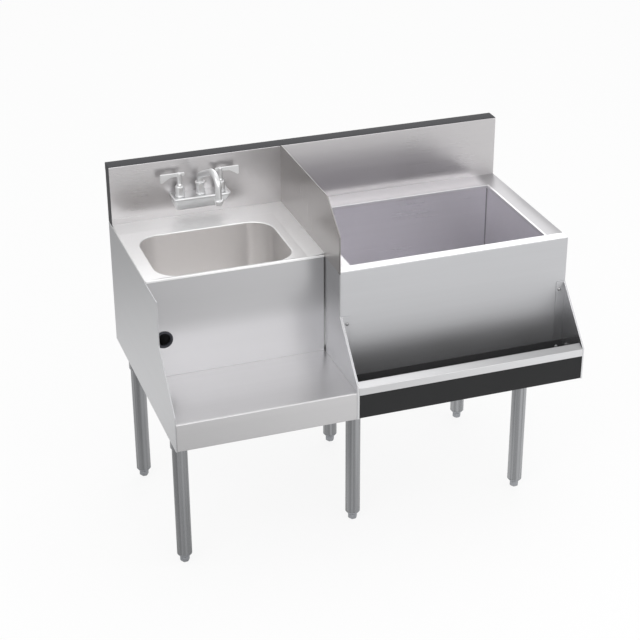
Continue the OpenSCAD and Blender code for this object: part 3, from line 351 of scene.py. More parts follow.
def mid_panel_steel():
    """Middle panel steel: painted shade dulls it upwards, and a painted dark line stands for the shade in the
    joint under the divider.
    """
    steel = Steel("mid_panel_steel", "y", 0.72, (0.985, 0.99, 1.01), 0.3)
    return steel.fade("z", 500.0, 680.0, 0.7).shaded_joint("z", PANEL_TOP - 1.7, PANEL_TOP - 1.3).done(0.94)


def rail_end_steel():
    """Rail end plates: cold-rolled and nearly mirror on the flat, satin as the bin front on the flange."""
    steel = Steel("rail_end_steel", "y", 0.74, (0.99, 0.99, 1.01), 0.2, 0.5)
    flange = steel.step("y", BIN_DEPTH + 2.6, BIN_DEPTH + 1.8)
    return steel.over(flange, (0.57, 0.573, 0.588)).done(0.95, flange * 0.22, 0.03)


def cap_steel():
    """Rail cap steel with painted shade: black laid over its sloped band towards the right end and over its
    upright band towards the left.
    """
    steel = Steel("rail_cap_steel", "x", 0.7, (1.0, 1.0, 1.015), 0.34)
    sloped = steel.step("z", CAP_LOW + CAP_H - 1.2, CAP_LOW + CAP_H + 0.2)
    right = steel.step("x", 483.5, 1033.5)
    # painted shade: black laid over the sloped band towards the right end and the upright band towards the left
    return steel.over(sloped * right * 0.42 + (1.0 - sloped) * (1.0 - right) * 0.14).done(0.84)


def tube_steel(tone=0.4, tint=(0.985, 1.0, 1.03)):
    """Drawn leg tube: light and dark bands left by drawing and polishing, and fine grain, all lengthwise."""
    steel = Steel("leg_tube_steel", "z", tone, tint, 0.24)
    band = steel.noise(1.0, 0.4, (150.0, 150.0, 0.6))
    steel.over((1.0 - band.held(0.36, 0.66)) * 0.55, shade(tone, tint, 0.42))
    return steel.done(0.95, band * 0.06, 0.03)


def polished(name, tone, rough, metal):
    """Chrome plate: near mirror, with faint waviness and fine handling marks in its roughness."""
    paint = Paint(name)
    haze = paint.noise(3.0, 0.6, 90.0)
    wave = paint.noise(1.0, 0.4, 45.0)
    colour = paint.mix(haze, shade(tone, (0.96, 0.97, 0.985)), shade(tone, (1.02, 1.02, 1.02)))
    return paint.fill(Base_Color=colour, Metallic=metal, Roughness=rough + haze * 0.06,
                      Normal=paint.bump(wave, 0.00006, 0.2))


def dark_coat(tone=0.011):
    """Black powder coat on the trough: fine orange peel, uneven gloss, and painted light that makes the inside
    a lighter grey.
    """
    paint = Paint("black_trough_coat")
    peel = paint.noise(2.0, 0.5, 900.0)
    cloud = paint.noise(3.0, 0.6, 9.0)
    colour = paint.mix(cloud, shade(tone, (0.85, 0.88, 0.95)), shade(tone, (1.25, 1.28, 1.35)))
    # painted light: behind the front wall the coat is a lighter grey
    colour = paint.mix(paint.step("y", UNIT_DEPTH - 3.8, UNIT_DEPTH - 4.5), colour, (0.05, 0.05, 0.052))
    return paint.fill(Base_Color=colour, Metallic=0.0, Roughness=0.46 + peel * 0.12, Specular_IOR_Level=0.3,
                      Normal=paint.bump(peel, 0.0001, 0.25))


def rubber(tone=0.03):
    """Moulded black rubber: dull, with a fine mould texture and dust in soft patches."""
    paint = Paint("moulded_rubber")
    fine = paint.noise(4.0, 0.6, 1500.0)
    cloud = paint.noise(2.0, 0.5, 60.0)
    colour = paint.mix(cloud, shade(tone, (0.8, 0.82, 1.0)), shade(tone, (1.4, 1.45, 1.9)))
    return paint.fill(Base_Color=colour, Roughness=0.55 + fine * 0.2, Normal=paint.bump(fine, 0.0002, 0.3))


def turned_brass():
    """Turned brass: fine rings of tool marks across the axis and a little tarnish."""
    paint = Paint("turned_brass")
    rings = paint.noise(2.0, 0.5, (30.0, 30.0, 1400.0))
    tarnish = paint.noise(3.0, 0.6, 55.0)
    colour = paint.mix(tarnish, (0.48, 0.33, 0.13), (0.66, 0.49, 0.22))
    return paint.fill(Base_Color=colour, Metallic=1.0, Roughness=0.26 + tarnish * 0.14,
                      Normal=paint.bump(rings, 0.00008, 0.3))


def foam():
    """Foamed insulation: pale yellow, small closed cells."""
    paint = Paint("insulation_foam")
    cells = paint.node("ShaderNodeTexVoronoi", {}, {"Vector": paint.place(), "Scale": 420.0})
    cloud = paint.noise(3.0, 0.6, 12.0)
    colour = paint.mix(cloud, (0.62, 0.5, 0.28), (0.78, 0.68, 0.42))
    return paint.fill(Base_Color=colour, Roughness=0.85, Normal=paint.bump(cells, 0.0008, 0.5))


def cast_foot():
    """Feet and inserts: zinc-plated casting, cooler and duller than the tube."""
    paint = Paint("foot_casting")
    cloud = paint.noise(3.0, 0.6, 70.0)
    fine = paint.noise(2.0, 0.5, 1200.0)
    colour = paint.mix(cloud, (0.3, 0.31, 0.33), (0.42, 0.43, 0.45))
    return paint.fill(Base_Color=colour, Metallic=0.9, Roughness=0.34 + cloud * 0.14,
                      Normal=paint.bump(fine, 0.00012, 0.25))


# painted light and shade in the steel tones: one stainless is given a different tone in each finish, set to how
# bright its part shows, from the near-white deck and bowl (1.0) to the dark divider (0.44) and legs (0.4)
FINISHES = {
    "steel": Steel("steel_grain_across", "x", 0.6, (1.0, 0.995, 0.99), 0.36).done(0.9),
    "apron": apron_steel(),
    "splash": splash_steel(),
    # painted shade: the deck darkens towards its left end
    "deck": Steel("deck_steel", "x", 1.0, (1.0, 0.998, 1.0), 0.34).fade("x", 173.5, 33.5, 0.86).done(0.74),
    "bowl": bowl_steel(),
    "shelf": Steel("shelf_steel", "x", 0.6, (1.0, 0.99, 1.0), 0.3).done(0.9),
    "panel": Steel("panel_steel", "y", 0.64, (0.985, 0.99, 1.01), 0.3).done(0.94),
    "mid_panel": mid_panel_steel(),
    "divider": Steel("divider_steel", "z", 0.44, (1.02, 0.985, 0.97), 0.28).done(0.92),
    "rim": rim_steel(),
    "liner": liner_steel(),
    "front": front_steel(),
    "cap": cap_steel(),
    "rail_end": rail_end_steel(),
    "screw": polished("screw_steel", 0.42, 0.3, 0.95),
    "chrome": polished("chrome_plate", 0.8, 0.27, 0.84),
    "brass": turned_brass(),
    "rubber": rubber(),
    "dark": dark_coat(),
    "foam": foam(),
    "leg": tube_steel(),
    "foot": cast_foot(),
}

# the CAD nodes that stay visible, by finish; every other node is replaced by a piece below
CAD_FINISHES = {
    "steel": ("back_panel", "sink_drain", "leg_channels", "bin_bottom_pan", "bin_drain"),
    "panel": ("side_panel_right",),
    "rubber": ("sink_drain_gasket",),
    "foam": ("bin_insulation",),
    "chrome": ("sink_slip_nut", "sink_tailpiece"),
    "brass": ("sink_drain_nut", "bin_drain_nut", "faucet_shanks", "faucet_shank_nuts", "valve_stem_left",
              "valve_stem_right"),
}


def finish_nodes():
    """Gives every visible CAD node its finish."""
    for finish, names in CAD_FINISHES.items():
        for name in names:
            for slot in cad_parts[name].material_slots:
                slot.material = FINISHES[finish]


finish_nodes()

# ---- outlines ----


def softened(points, radius, closed=False, steps=6):
    """Polyline with each corner replaced by a circular arc of the radius.

    Each arc is the rational quadratic curve between its two tangent points, with the corner as middle point
    and the sine of half the corner's inner angle as that point's weight."""
    points = np.asarray(points, float)
    corner = points if closed else points[1:-1]
    before = np.roll(points, 1, 0) if closed else points[:-2]
    after = np.roll(points, -1, 0) if closed else points[2:]
    back, ahead = before - corner, after - corner
    back_len, ahead_len = np.linalg.norm(back, axis=1), np.linalg.norm(ahead, axis=1)
    back, ahead = back / back_len[:, None], ahead / ahead_len[:, None]
    half = np.arccos(np.clip((back * ahead).sum(1), -1.0, 1.0)) / 2
    reach = np.minimum(np.broadcast_to(radius, half.shape) / np.tan(half),
                       0.499 * np.minimum(back_len, ahead_len))[:, None]
    t = np.linspace(0.0, 1.0, steps + 1)[None, :, None]
    weight = np.sin(half)[:, None, None]
    first, last = (corner + back * reach)[:, None], (corner + ahead * reach)[:, None]
    shares = (1 - t) ** 2, 2 * weight * t * (1 - t), t ** 2
    arcs = (shares[0] * first + shares[1] * corner[:, None] + shares[2] * last) / sum(shares)
    arcs = arcs.reshape(-1, points.shape[1])
    return arcs if closed else np.concatenate([points[:1], arcs, points[-1:]])


def sheet_outline(line, gauge=GAUGE, bend=2.0, steps=5):
    """Closed outline of bent sheet: the softened centre line, moved half a gauge to each side of itself."""
    line = softened(line, bend, steps=steps)
    run = np.gradient(line, axis=0)
    run /= np.linalg.norm(run, axis=1)[:, None]
    aside = np.stack([-run[:, 1], run[:, 0]], 1) * gauge / 2
    return np.concatenate([line + aside, (line - aside)[::-1]])


def hem_outline(edge, inner, radius, steps=4):
    """Closed outline of a folded hem, between a sheet's free edge and the line where the fold ends."""
    return np.concatenate([softened(edge, radius, steps=steps), softened(inner, radius, steps=steps)[::-1]])


def oblong(low_a, low_b, high_a, high_b):
    """The four corners of a rectangle."""
    return [(low_a, low_b), (high_a, low_b), (high_a, high_b), (low_a, high_b)]


def rounded_loop(low, high, radius, steps=12):
    """Closed rounded rectangle between two corners, the same number of points whatever its radius."""
    return softened(oblong(*low, *high), max(radius, 1e-4), True, steps)


def centred_loop(middle, size, radius, steps=12):
    """Closed rounded rectangle round a middle."""
    half = np.asarray(size, float) / 2
    return rounded_loop(np.asarray(middle) - half, np.asarray(middle) + half, radius, steps)


def round_loop(middle, radius, steps=12):
    """Circle with as many points as a rounded rectangle has."""
    return centred_loop(middle, (2 * radius, 2 * radius), radius, steps)


def at_height(loop, z):
    """Plan loop lifted to a height."""
    return np.concatenate([loop, np.full((len(loop), 1), float(z))], 1)


# ---- pieces ----


class Piece:
    """One piece: surfaces are added in wall millimetres, then it becomes one object that rides on a body."""

    def __init__(self, name):
        self.name = name
        self.points = []
        self.faces = []
        self.count = 0

    def surface(self, grid, around=False, caps=False):
        """Quads over a grid of points; around closes each row on itself, caps close the first and last rows."""
        grid = np.asarray(grid, float)
        rows, columns = grid.shape[:2]
        index = self.count + np.arange(rows * columns).reshape(rows, columns)
        side = np.roll(index, -1, 1) if around else index[:, 1:]
        here = index if around else index[:, :-1]
        quads = np.stack([here[:-1], side[:-1], side[1:], here[1:]], -1).reshape(-1, 4)
        self.faces += quads.tolist()
        if caps:
            self.faces += [index[0][::-1].tolist(), index[-1].tolist()]
        self.points.append(grid.reshape(-1, 3))
        self.count += rows * columns
        return self

    def extrusion(self, outline, low, high, axis=0):
        """Closed outline carried straight along an axis, with flat ends."""
        outline = np.asarray(outline, float)
        ends = [np.insert(outline, axis, value, axis=1) for value in (low, high)]
        return self.surface(np.stack(ends), True, True)

    def turned(self, profile, centre, steps=64, axis=2):
        """Profile of radius and height turned about an axis through the centre."""
        profile = np.asarray(profile, float)
        angle = np.linspace(0.0, 2 * np.pi, steps, endpoint=False)
        radius, height = profile[:, :1], profile[:, 1:]
        flat = [radius * np.cos(angle), radius * np.sin(angle)]
        flat.insert(axis, np.broadcast_to(height, flat[0].shape))
        return self.surface(np.stack(flat, -1) + np.asarray(centre, float), True)

    def tube(self, path, radius, side, steps):
        """Circle of the radius carried along a flat path; side is the direction across the path's plane."""
        path = np.asarray(path, float)
        run = np.gradient(path, axis=0)
        run /= np.linalg.norm(run, axis=1)[:, None]
        across = np.cross(run, side)
        across /= np.linalg.norm(across, axis=1)[:, None]
        angle = np.linspace(0.0, 2 * np.pi, steps, endpoint=False)[None, :, None]
        radius = np.broadcast_to(radius, len(path))[:, None, None]
        ring = across[:, None] * np.cos(angle) + np.cross(run, across)[:, None] * np.sin(angle)
        return self.surface(path[:, None] + ring * radius, True, True)

    def make(self, finish, nodes=(), body="unit", bevel=0.0, wall=0.0, sharp=32.0, fix_normals=True):
        """Builds the object: doubles merged, faces turned outwards, wall and edge radius (in mm) added.

        Edges sharper than the angle stay hard; nodes are the CAD nodes that the piece stands for."""
        mesh = bpy.data.meshes.new(self.name)
        mesh.from_pydata(in_metres(np.concatenate(self.points)), [], self.faces)
        shape = bmesh.new()
        shape.from_mesh(mesh)
        bmesh.ops.remove_doubles(shape, verts=shape.verts, dist=2e-6)
        bmesh.ops.dissolve_degenerate(shape, edges=shape.edges, dist=1e-6)
        if fix_normals:
            bmesh.ops.recalc_face_normals(shape, faces=shape.faces)
        shape.to_mesh(mesh)
        shape.free()
        item = linked(self.name, mesh)
        mesh.materials.append(FINISHES[finish])
        if wall:
            modifier = item.modifiers.new("wall", "SOLIDIFY")
            modifier.thickness = wall / 1000.0
            modifier.offset = -1.0
            bpy.context.view_layer.update()
            solid = bpy.data.meshes.new_from_object(item.evaluated_get(bpy.context.evaluated_depsgraph_get()))
            item.modifiers.clear()
            item.data = mesh = solid
        mesh.polygons.foreach_set("use_smooth", np.ones(len(mesh.polygons), bool))
        mesh.set_sharp_from_angle(angle=math.radians(sharp))
        if bevel:
            modifier = item.modifiers.new("edge", "BEVEL")
            modifier.width = bevel / 1000.0
            modifier.segments = 3
            modifier.limit_method = "ANGLE"
            modifier.angle_limit = math.radians(40.0)
            modifier.harden_normals = True
        if nodes:
            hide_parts(*nodes)
        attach(item, body)


def cove(width, drop, steps=14):
    """Fall of a coved rim: height is minus the drop times one less the square of the share still to go."""
    t = np.linspace(0.0, 1.0, steps + 1)
    return np.stack([width * t, -drop * (1 - (1 - t) ** 2)], 1)


# ---- sink station ----


def make_splash():
    """Backsplash: one sheet bent over the top and down behind, with a welded cap in each end."""
    piece = Piece("splash_sheet")
    front, top = SPLASH_T - HALF, TOP_Z - HALF
    inset, sunk = 1.4, 0.15
    piece.extrusion(sheet_outline([(front, DECK_Z - HEM + HALF), (front, top), (HALF, top),
                                   (HALF, TOP_Z - SPLASH_LIP)], bend=2.4), 0.0, UNIT_W)
    cap = softened(oblong(inset, DECK_Z + GAP, SPLASH_T - inset, TOP_Z - inset), 1.2, True, 3)
    piece.extrusion(cap, sunk, GAUGE)
    piece.extrusion(cap, UNIT_W - GAUGE, UNIT_W - sunk)
    piece.make("splash", ["backsplash"], bevel=0.35)


def make_deck():
    """Sink deck: rolled edge round the bowl, level middle, two ledges that rise from a soft crease."""
    piece = Piece("sink_deck_sheet")
    roll, level_y1 = DECK_ROLL, DECK_DEPTH - 6.0
    inner_x, inner_y = DECK_W - LEDGE_SIDE, SPLASH_T + LEDGE_BACK
    turn = np.radians(np.linspace(0.0, 90.0, 7))
    size = np.asarray(BOWL_SIZE)
    loops = [at_height(centred_loop(BOWL_MID, size + 2 * roll * (1 - np.cos(a)),
                                    BOWL_CORNER + roll * (1 - np.cos(a))), DECK_Z - roll * (1 - np.sin(a)))
             for a in turn]
    loops.append(at_height(centred_loop(BOWL_MID, size + 2 * roll + 1.6, BOWL_CORNER + 3.0), DECK_Z))
    loops.append(at_height(rounded_loop((GAUGE, inner_y), (inner_x, level_y1), 0.0), DECK_Z))
    piece.surface(np.stack(loops), True)
    t = np.array([0.0, 0.02, 0.04, 0.06, 0.08, 0.12, 0.5, 1.0])
    soft = 0.08
    rise = LEDGE_H * np.where(t < soft, t ** 2 / (2 * soft), t - soft / 2) / (1 - soft / 2)
    ones = np.ones_like(t)
    rear = np.stack([np.stack([GAUGE * ones, inner_y - LEDGE_BACK * t, DECK_Z + rise], 1),
                     np.stack([inner_x + LEDGE_SIDE * t, inner_y - LEDGE_BACK * t, DECK_Z + rise], 1)], 1)
    side = np.stack([rear[:, 1], np.stack([inner_x + LEDGE_SIDE * t, DECK_DEPTH * ones, DECK_Z + rise], 1)], 1)
    piece.surface(rear).surface(side)
    piece.make("deck", ["sink_deck"], wall=GAUGE, sharp=40.0)
    hem = Piece("sink_deck_hem")
    mid = DECK_Z - HALF
    front = [(level_y1, mid), (DECK_DEPTH - HALF, mid), (DECK_DEPTH - HALF, DECK_Z - DECK_HEM)]
    hem.extrusion(sheet_outline(front, bend=1.3), HEM + GAP, inner_x)
    hem.extrusion(sheet_outline(np.asarray(front) - (0, 0.2), bend=1.3), inner_x, DECK_W)
    hem.extrusion(sheet_outline([(HALF, DECK_Z - HEM), (HALF, mid), (HEM, mid)], bend=1.0),
                  SPLASH_T, DECK_DEPTH, 1)
    hem.make("deck", bevel=0.25)


def make_bowl():
    """Deep-drawn bowl: upright walls, rounded lower edge, floor falling to the drain."""
    piece = Piece("sink_bowl_drawn")
    size, floor_r, fall = np.asarray(BOWL_SIZE), 25.0, 3.0
    depths = np.linspace(DECK_Z - DECK_ROLL, BOWL_FLOOR + floor_r, 5)
    loops = [at_height(centred_loop(BOWL_MID, size, BOWL_CORNER), z) for z in depths]
    for a in np.radians(np.linspace(8.0, 90.0, 11)):
        inset = floor_r * (1 - np.cos(a))
        loops.append(at_height(centred_loop(BOWL_MID, size - 2 * inset, BOWL_CORNER - inset),
                               BOWL_FLOOR + fall + (floor_r - fall) * (1 - np.sin(a))))
    wide = loops[-1]
    drain = at_height(round_loop(BOWL_MID, 33.0), BOWL_FLOOR + 0.6)
    loops += [wide + (drain - wide) * share for share in (0.3, 0.6, 0.85, 1.0)]
    loops += [at_height(round_loop(BOWL_MID, radius), BOWL_FLOOR) for radius in (32.0, DRAIN_R)]
    piece.surface(np.stack(loops)[:, ::-1], True)
    piece.make("bowl", ["sink_bowl"], wall=1.2, sharp=45.0, fix_normals=False)


def make_shelf():
    """Drop shelf: floor, deep front lip with a rounded upper bend, lower edge folded back."""
    piece = Piece("drop_shelf_sheet")
    floor, front, low = SHELF_Z - HALF, UNIT_DEPTH - HALF, BODY_Z + HALF
    piece.extrusion(sheet_outline([(SHELF_BACK, floor), (front, floor), (front, low), (UNIT_DEPTH - 12.0, low)],
                                  bend=3.0), HEM + GAP, DIVIDER_X - GAP)
    piece.extrusion(sheet_outline([(SHELF_BACK, floor - EASE), (UNIT_DEPTH - 14.0, floor - EASE)]),
                    LAP, DIVIDER_X + 1.4)
    piece.make("shelf", ["drop_shelf"], bevel=0.3)


def make_divider():
    """Splash plate between sink and bin: flat sheet with its free edges folded over to a round nose."""
    piece = Piece("divider_sheet")
    low, nose_z, slope_y, fold = DECK_Z - HEM, DECK_Z + 93.0, 406.0, 10.0
    edge = [(BIN_DEPTH, low), (BIN_DEPTH, nose_z), (slope_y, TOP_Z), (SPLASH_T, TOP_Z)]
    inner = [(BIN_DEPTH - fold, low), (BIN_DEPTH - fold, nose_z - 3.5), (slope_y - 3.5, TOP_Z - fold),
             (SPLASH_T, TOP_Z - fold)]
    outline = softened([(SPLASH_T, low)] + edge, (0.01, 0.01, 4.0, 4.0, 0.01), True, 5)
    piece.extrusion(outline, DIVIDER_X, DIVIDER_X + GAUGE)
    piece.extrusion(hem_outline(edge, inner, 4.0, 5), DIVIDER_X + 0.05, DIVIDER_X + HEM)
    piece.make("divider", ["divider"], bevel=0.6)


def make_grommet():
    """Cord grommet: soft ring whose section is a rounded bead in front, a groove, and a flange behind."""
    face = DECK_DEPTH - LAP
    bore, groove, flange = 16.5, CORD_R - GAP, 23.0
    section = softened([(bore, face - 5.0), (flange, face - 5.0), (flange, face - 1.7), (groove, face - 1.7),
                        (groove, face + GAP), (flange, face + GAP), (flange - 0.6, face + 2.4),
                        (CORD_R, face + 3.2), (bore, face + 2.2)],
                       (1.0, 1.4, 0.6, 0.3, 0.3, 0.5, 1.2, 1.2, 1.0), True, 4)
    piece = Piece("cord_grommet_ring")
    section = np.concatenate([section, section[:1]])
    piece.turned(section, (CORD_X, 0.0, CORD_Z), 72, 1)
    piece.make("rubber", ["cord_grommet"], sharp=60.0)


# ---- ice bin ----


def make_rim():
    """Coved rim in three mitred strips: cove, narrow level strip, rolled edge and turned-down nose."""
    piece = Piece("bin_rim_sheet")
    turn = np.radians(np.linspace(-40.0, 90.0, 9))
    roll = 1.3
    tail = np.concatenate([[(0.0, 0.0), (0.12, -0.25), (0.3, -0.25)],
                           np.stack([RIM_FLAT - roll + roll * np.sin(turn), roll * np.cos(turn) - HALF], 1),
                           [(RIM_FLAT, -RIM_NOSE - GAUGE)]])
    front = HOLE_Y1 - GAP

    def profile(width):
        edge = cove(width - RIM_FLAT, RIM_DROP)
        return np.concatenate([edge, tail + (width - RIM_FLAT, -RIM_DROP)])

    side, back = profile(RIM_SIDE), profile(RIM_BACK)
    left = profile(HOLE_X0 - RIM_X0)
    y_back = SPLASH_T + back[:, 0]
    right_x, left_x = UNIT_W - side[:, 0], RIM_X0 + left[:, 0]
    z = DECK_Z + side[:, 1]
    run = np.linspace(0.0, 1.0, 3)[None, :, None]

    def strip(first, last):
        first, last = np.stack(first, 1)[:, None], np.stack(last, 1)[:, None]
        piece.surface(first + (last - first) * run)

    level = np.full_like(z, front)
    strip((left_x, level, z), (left_x, y_back, z))
    strip((left_x, y_back, z), (right_x, y_back, z))
    strip((right_x, y_back, z), (right_x, level, z))
    piece.make("rim", ["bin_rim"], wall=GAUGE, sharp=38.0)
    hem = Piece("bin_rim_hem")
    hem.extrusion(oblong(UNIT_W - GAUGE, DECK_Z - HEM, UNIT_W - EASE, DECK_Z - 0.3), SPLASH_T, front, 1)
    hem.make("rim", bevel=0.3)


def make_liner():
    """Bin liner: folded tub, its lower edges rolled; each wall runs down into the floor in one bend."""
    piece = Piece("bin_liner_sheet")
    low = np.array([HOLE_X0, HOLE_Y0]) - LAP
    high = np.array([HOLE_X1, HOLE_Y1]) + LAP
    top, floor, bend = DECK_Z - RIM_DROP - GAUGE - GAP, LINER_FLOOR_Z, LINER_FLOOR_R
    loops = [at_height(rounded_loop(low, high, LINER_CORNER, 5), z) for z in np.linspace(top, floor + bend, 4)]
    for a in np.radians(np.linspace(9.0, 90.0, 10)):
        inset = bend * (1 - np.cos(a))
        loops.append(at_height(rounded_loop(low + inset, high - inset, max(LINER_CORNER - inset, 0.3), 5),
                               floor + bend * (1 - np.sin(a))))
    loops += [at_height(round_loop((low + high) / 2, radius, 5), floor - 0.2) for radius in (30.0, 14.0)]
    piece.surface(np.stack(loops)[:, ::-1], True)
    piece.make("liner", ["bin_liner"], wall=1.2, sharp=40.0, fix_normals=False)


def make_bin_front():
    """Bin front: face, soft upper bend, level strip and the lap that hangs behind it."""
    piece = Piece("bin_front_sheet")
    face, lap, top = BIN_DEPTH - HALF, HOLE_Y1 + HALF, DECK_Z - HALF
    piece.extrusion(sheet_outline([(lap, DECK_Z - 9.6), (lap, top), (face, top), (face, BODY_Z)], bend=2.2),
                    BIN_X0, UNIT_W)
    piece.extrusion(sheet_outline([(lap - 0.05, DECK_Z - 20.0), (lap - 0.05, DECK_Z - 4.0)]),
                    HOLE_X0 + 3.5, HOLE_X1 - 3.5)
    piece.extrusion(oblong(HOLE_Y1 + 2.0, DECK_Z - HEM, BIN_DEPTH - 1.0, DECK_Z - 0.8),
                    UNIT_W - GAUGE, UNIT_W - 0.05)
    piece.make("front", ["bin_front"], bevel=0.3)


def make_cap():
    """Rail cap: upright band, sloped band, inner edge turned down; every bend is soft."""
    piece = Piece("rail_cap_sheet")
    face, bend_z = UNIT_DEPTH - HALF, CAP_LOW + CAP_H - HALF
    inner, inner_z = UNIT_DEPTH - CAP_RUN, bend_z + CAP_RISE
    piece.extrusion(sheet_outline([(face, CAP_LOW), (face, bend_z), (inner, inner_z), (inner, inner_z - 12.0)],
                                  bend=2.0), BIN_X0 + RAIL_NOSE + GAP, UNIT_W - RAIL_NOSE - GAP)
    piece.make("cap", ["rail_cap"], bevel=0.25)


# ---- body panels and bottle rail ----


def make_side_panel(name, left, finish):
    """Side panel: flat sheet whose sloping front and lower edges are folded over flat, with a round nose.

    The left panel's sheet goes on to the wall in an L, below and behind the notch for the backsplash."""
    sheet_x = 0.0 if left else BIN_X0 - LAP
    hem_x = 0.0 if left else DIVIDER_X
    notch, fold, drop = 12.1, 12.0, 4.0
    edge = [(notch, BODY_Z), (UNIT_DEPTH, BODY_Z), (UNIT_DEPTH, NOSE_Z), (BIN_DEPTH, KNEE_Z),
            (BIN_DEPTH, PANEL_TOP)]
    inner = [(notch, BODY_Z + fold), (UNIT_DEPTH - fold, BODY_Z + fold), (UNIT_DEPTH - fold, NOSE_Z - drop),
             (BIN_DEPTH - fold, KNEE_Z - drop), (BIN_DEPTH - fold, PANEL_TOP)]
    outline = [(LAP, BODY_Z + LAP), (notch, BODY_Z + LAP)] + edge + [(LAP, PANEL_TOP)]
    piece = Piece(name + "_sheet")
    piece.extrusion(softened(outline, (0.2, 0.2, 0.2, 1.5, 3.0, 3.0, 0.3, 0.3), True, 4),
                    sheet_x + EASE, sheet_x + GAUGE)
    if left:
        strip = [(0.0, BODY_Z), (notch - 0.05, BODY_Z), (notch - 0.05, BODY_Z + LAP), (LAP, BODY_Z + LAP),
                 (LAP, PANEL_TOP), (0.0, PANEL_TOP)]
        piece.extrusion(strip, sheet_x + EASE, sheet_x + GAUGE)
    piece.make(finish, [name], bevel=0.3)
    hem = Piece(name + "_hem")
    hem.extrusion(hem_outline(edge, inner, (1.5, 3.0, 3.0)), hem_x, hem_x + HEM)
    hem.make(finish, bevel=1.1)


def make_apron():
    """Apron under the deck: flat face with the cord hole, folded back at the foot over the shelf."""
    face, low = DECK_DEPTH - LAP, SHELF_Z + 0.2
    left, right = LAP, DIVIDER_X + 0.2
    outer = rounded_loop((left, low), (right, PANEL_TOP), 0.0)
    hole, ease, around = (round_loop((CORD_X, CORD_Z), radius) for radius in (CORD_R, CORD_R + 0.4, 31.0))

    def upright(loop, depth):
        return np.stack([loop[:, 0], np.full(len(loop), depth), loop[:, 1]], 1)

    piece = Piece("apron_sheet")
    piece.surface(np.stack([upright(hole, face - 0.4), upright(ease, face), upright(around, face),
                            upright(outer, face)])[:, ::-1], True)
    piece.make("apron", ["apron"], wall=GAUGE, fix_normals=False)
    foot = Piece("apron_foot")
    foot.extrusion(oblong(SHELF_BACK, low, face - GAUGE, low + GAUGE), left, right)
    foot.make("apron", bevel=0.25)


def make_rail_end(name, side):
    """Rail end plate: flat plate with a thickened sloping edge and a flange screwed to the bin front."""
    x0 = BIN_X0 if side > 0 else UNIT_W
    rear, flange_w = BIN_DEPTH + GAP, 25.0
    outline = softened([(rear, BODY_Z), (UNIT_DEPTH, BODY_Z), (UNIT_DEPTH, RAIL_NOSE_Z), (rear, KNEE_Z)],
                       (0.3, 1.5, 3.0, 1.5), True, 4)
    piece = Piece(name + "_plate")
    piece.extrusion(outline, *sorted((x0 + side * EASE, x0 + side * GAUGE)))
    flange = softened(oblong(x0, BODY_Z, x0 + side * flange_w, KNEE_Z - 0.4), (0.3, 2.0, 2.0, 0.3), True, 5)
    piece.extrusion(flange, rear, rear + GAUGE, 1)
    piece.make("rail_end", [name], bevel=0.35)
    edge = [(UNIT_DEPTH, BODY_Z), (UNIT_DEPTH, RAIL_NOSE_Z), (rear, KNEE_Z)]
    inner = [(UNIT_DEPTH - 3.0, BODY_Z), (UNIT_DEPTH - 3.0, RAIL_NOSE_Z - 1.7), (rear, KNEE_Z - 4.4)]
    nose = Piece(name + "_nose")
    nose.extrusion(hem_outline(edge, inner, 3.0), *sorted((x0, x0 + side * RAIL_NOSE)))
    nose.make("rail_end", bevel=1.2)


def make_trough():
    """Bottle trough: heavy sheet folded up at front and back, with open corners at the end plates."""
    front, back, floor = UNIT_DEPTH - 2.6, BIN_DEPTH + 2.7, BODY_Z + 1.0
    piece = Piece("rail_trough_folded")
    piece.extrusion(sheet_outline([(back, 429.0), (back, floor), (front, floor), (front, 459.5)], 2.0, 3.0, 6),
                    BIN_X0 + LAP, UNIT_W - LAP)
    piece.make("dark", ["rail_trough"], bevel=0.5)


def make_rail_screws():
    """Dome-headed screws with a six-sided recess: rings whose radius is the recess's half width over the cosine
    of the angle from its nearest flat, then plain circles over the dome."""
    steps, from_end = 48, 16.0
    angle = np.linspace(0.0, 2 * np.pi, steps, endpoint=False)
    hexagon = 1.35 / np.cos((angle + np.pi / 6) % (np.pi / 3) - np.pi / 6)
    circle = np.ones_like(angle)
    recess = (0.02, 1.5), (0.96, 1.5), (1.0, 1.6), (1.0, 2.95), (1.08, 3.0)
    dome = (2.3, 2.78), (3.2, 2.4), (4.0, 1.7), (4.45, 1.0), (4.6, 0.4), (4.6, 0.05), (2.4, 0.05), (2.4, -6.0)
    rings = [(hexagon * share, out) for share, out in recess] + [(circle * radius, out) for radius, out in dome]
    piece = Piece("rail_screws_domed")
    for x in (BIN_X0 + from_end, UNIT_W - from_end):
        for z, grip in ((KNEE_Z - 22.0, 1.7), (BODY_Z + 36.0, 3.8)):
            rows = [np.stack([x + ring * np.cos(angle), np.full(steps, BIN_DEPTH + grip + out),
                              z + ring * np.sin(angle)], 1) for ring, out in rings]
            piece.surface(np.stack(rows), True, True)
    piece.make("screw", ["rail_screws"], sharp=40.0)


# ---- faucet ----


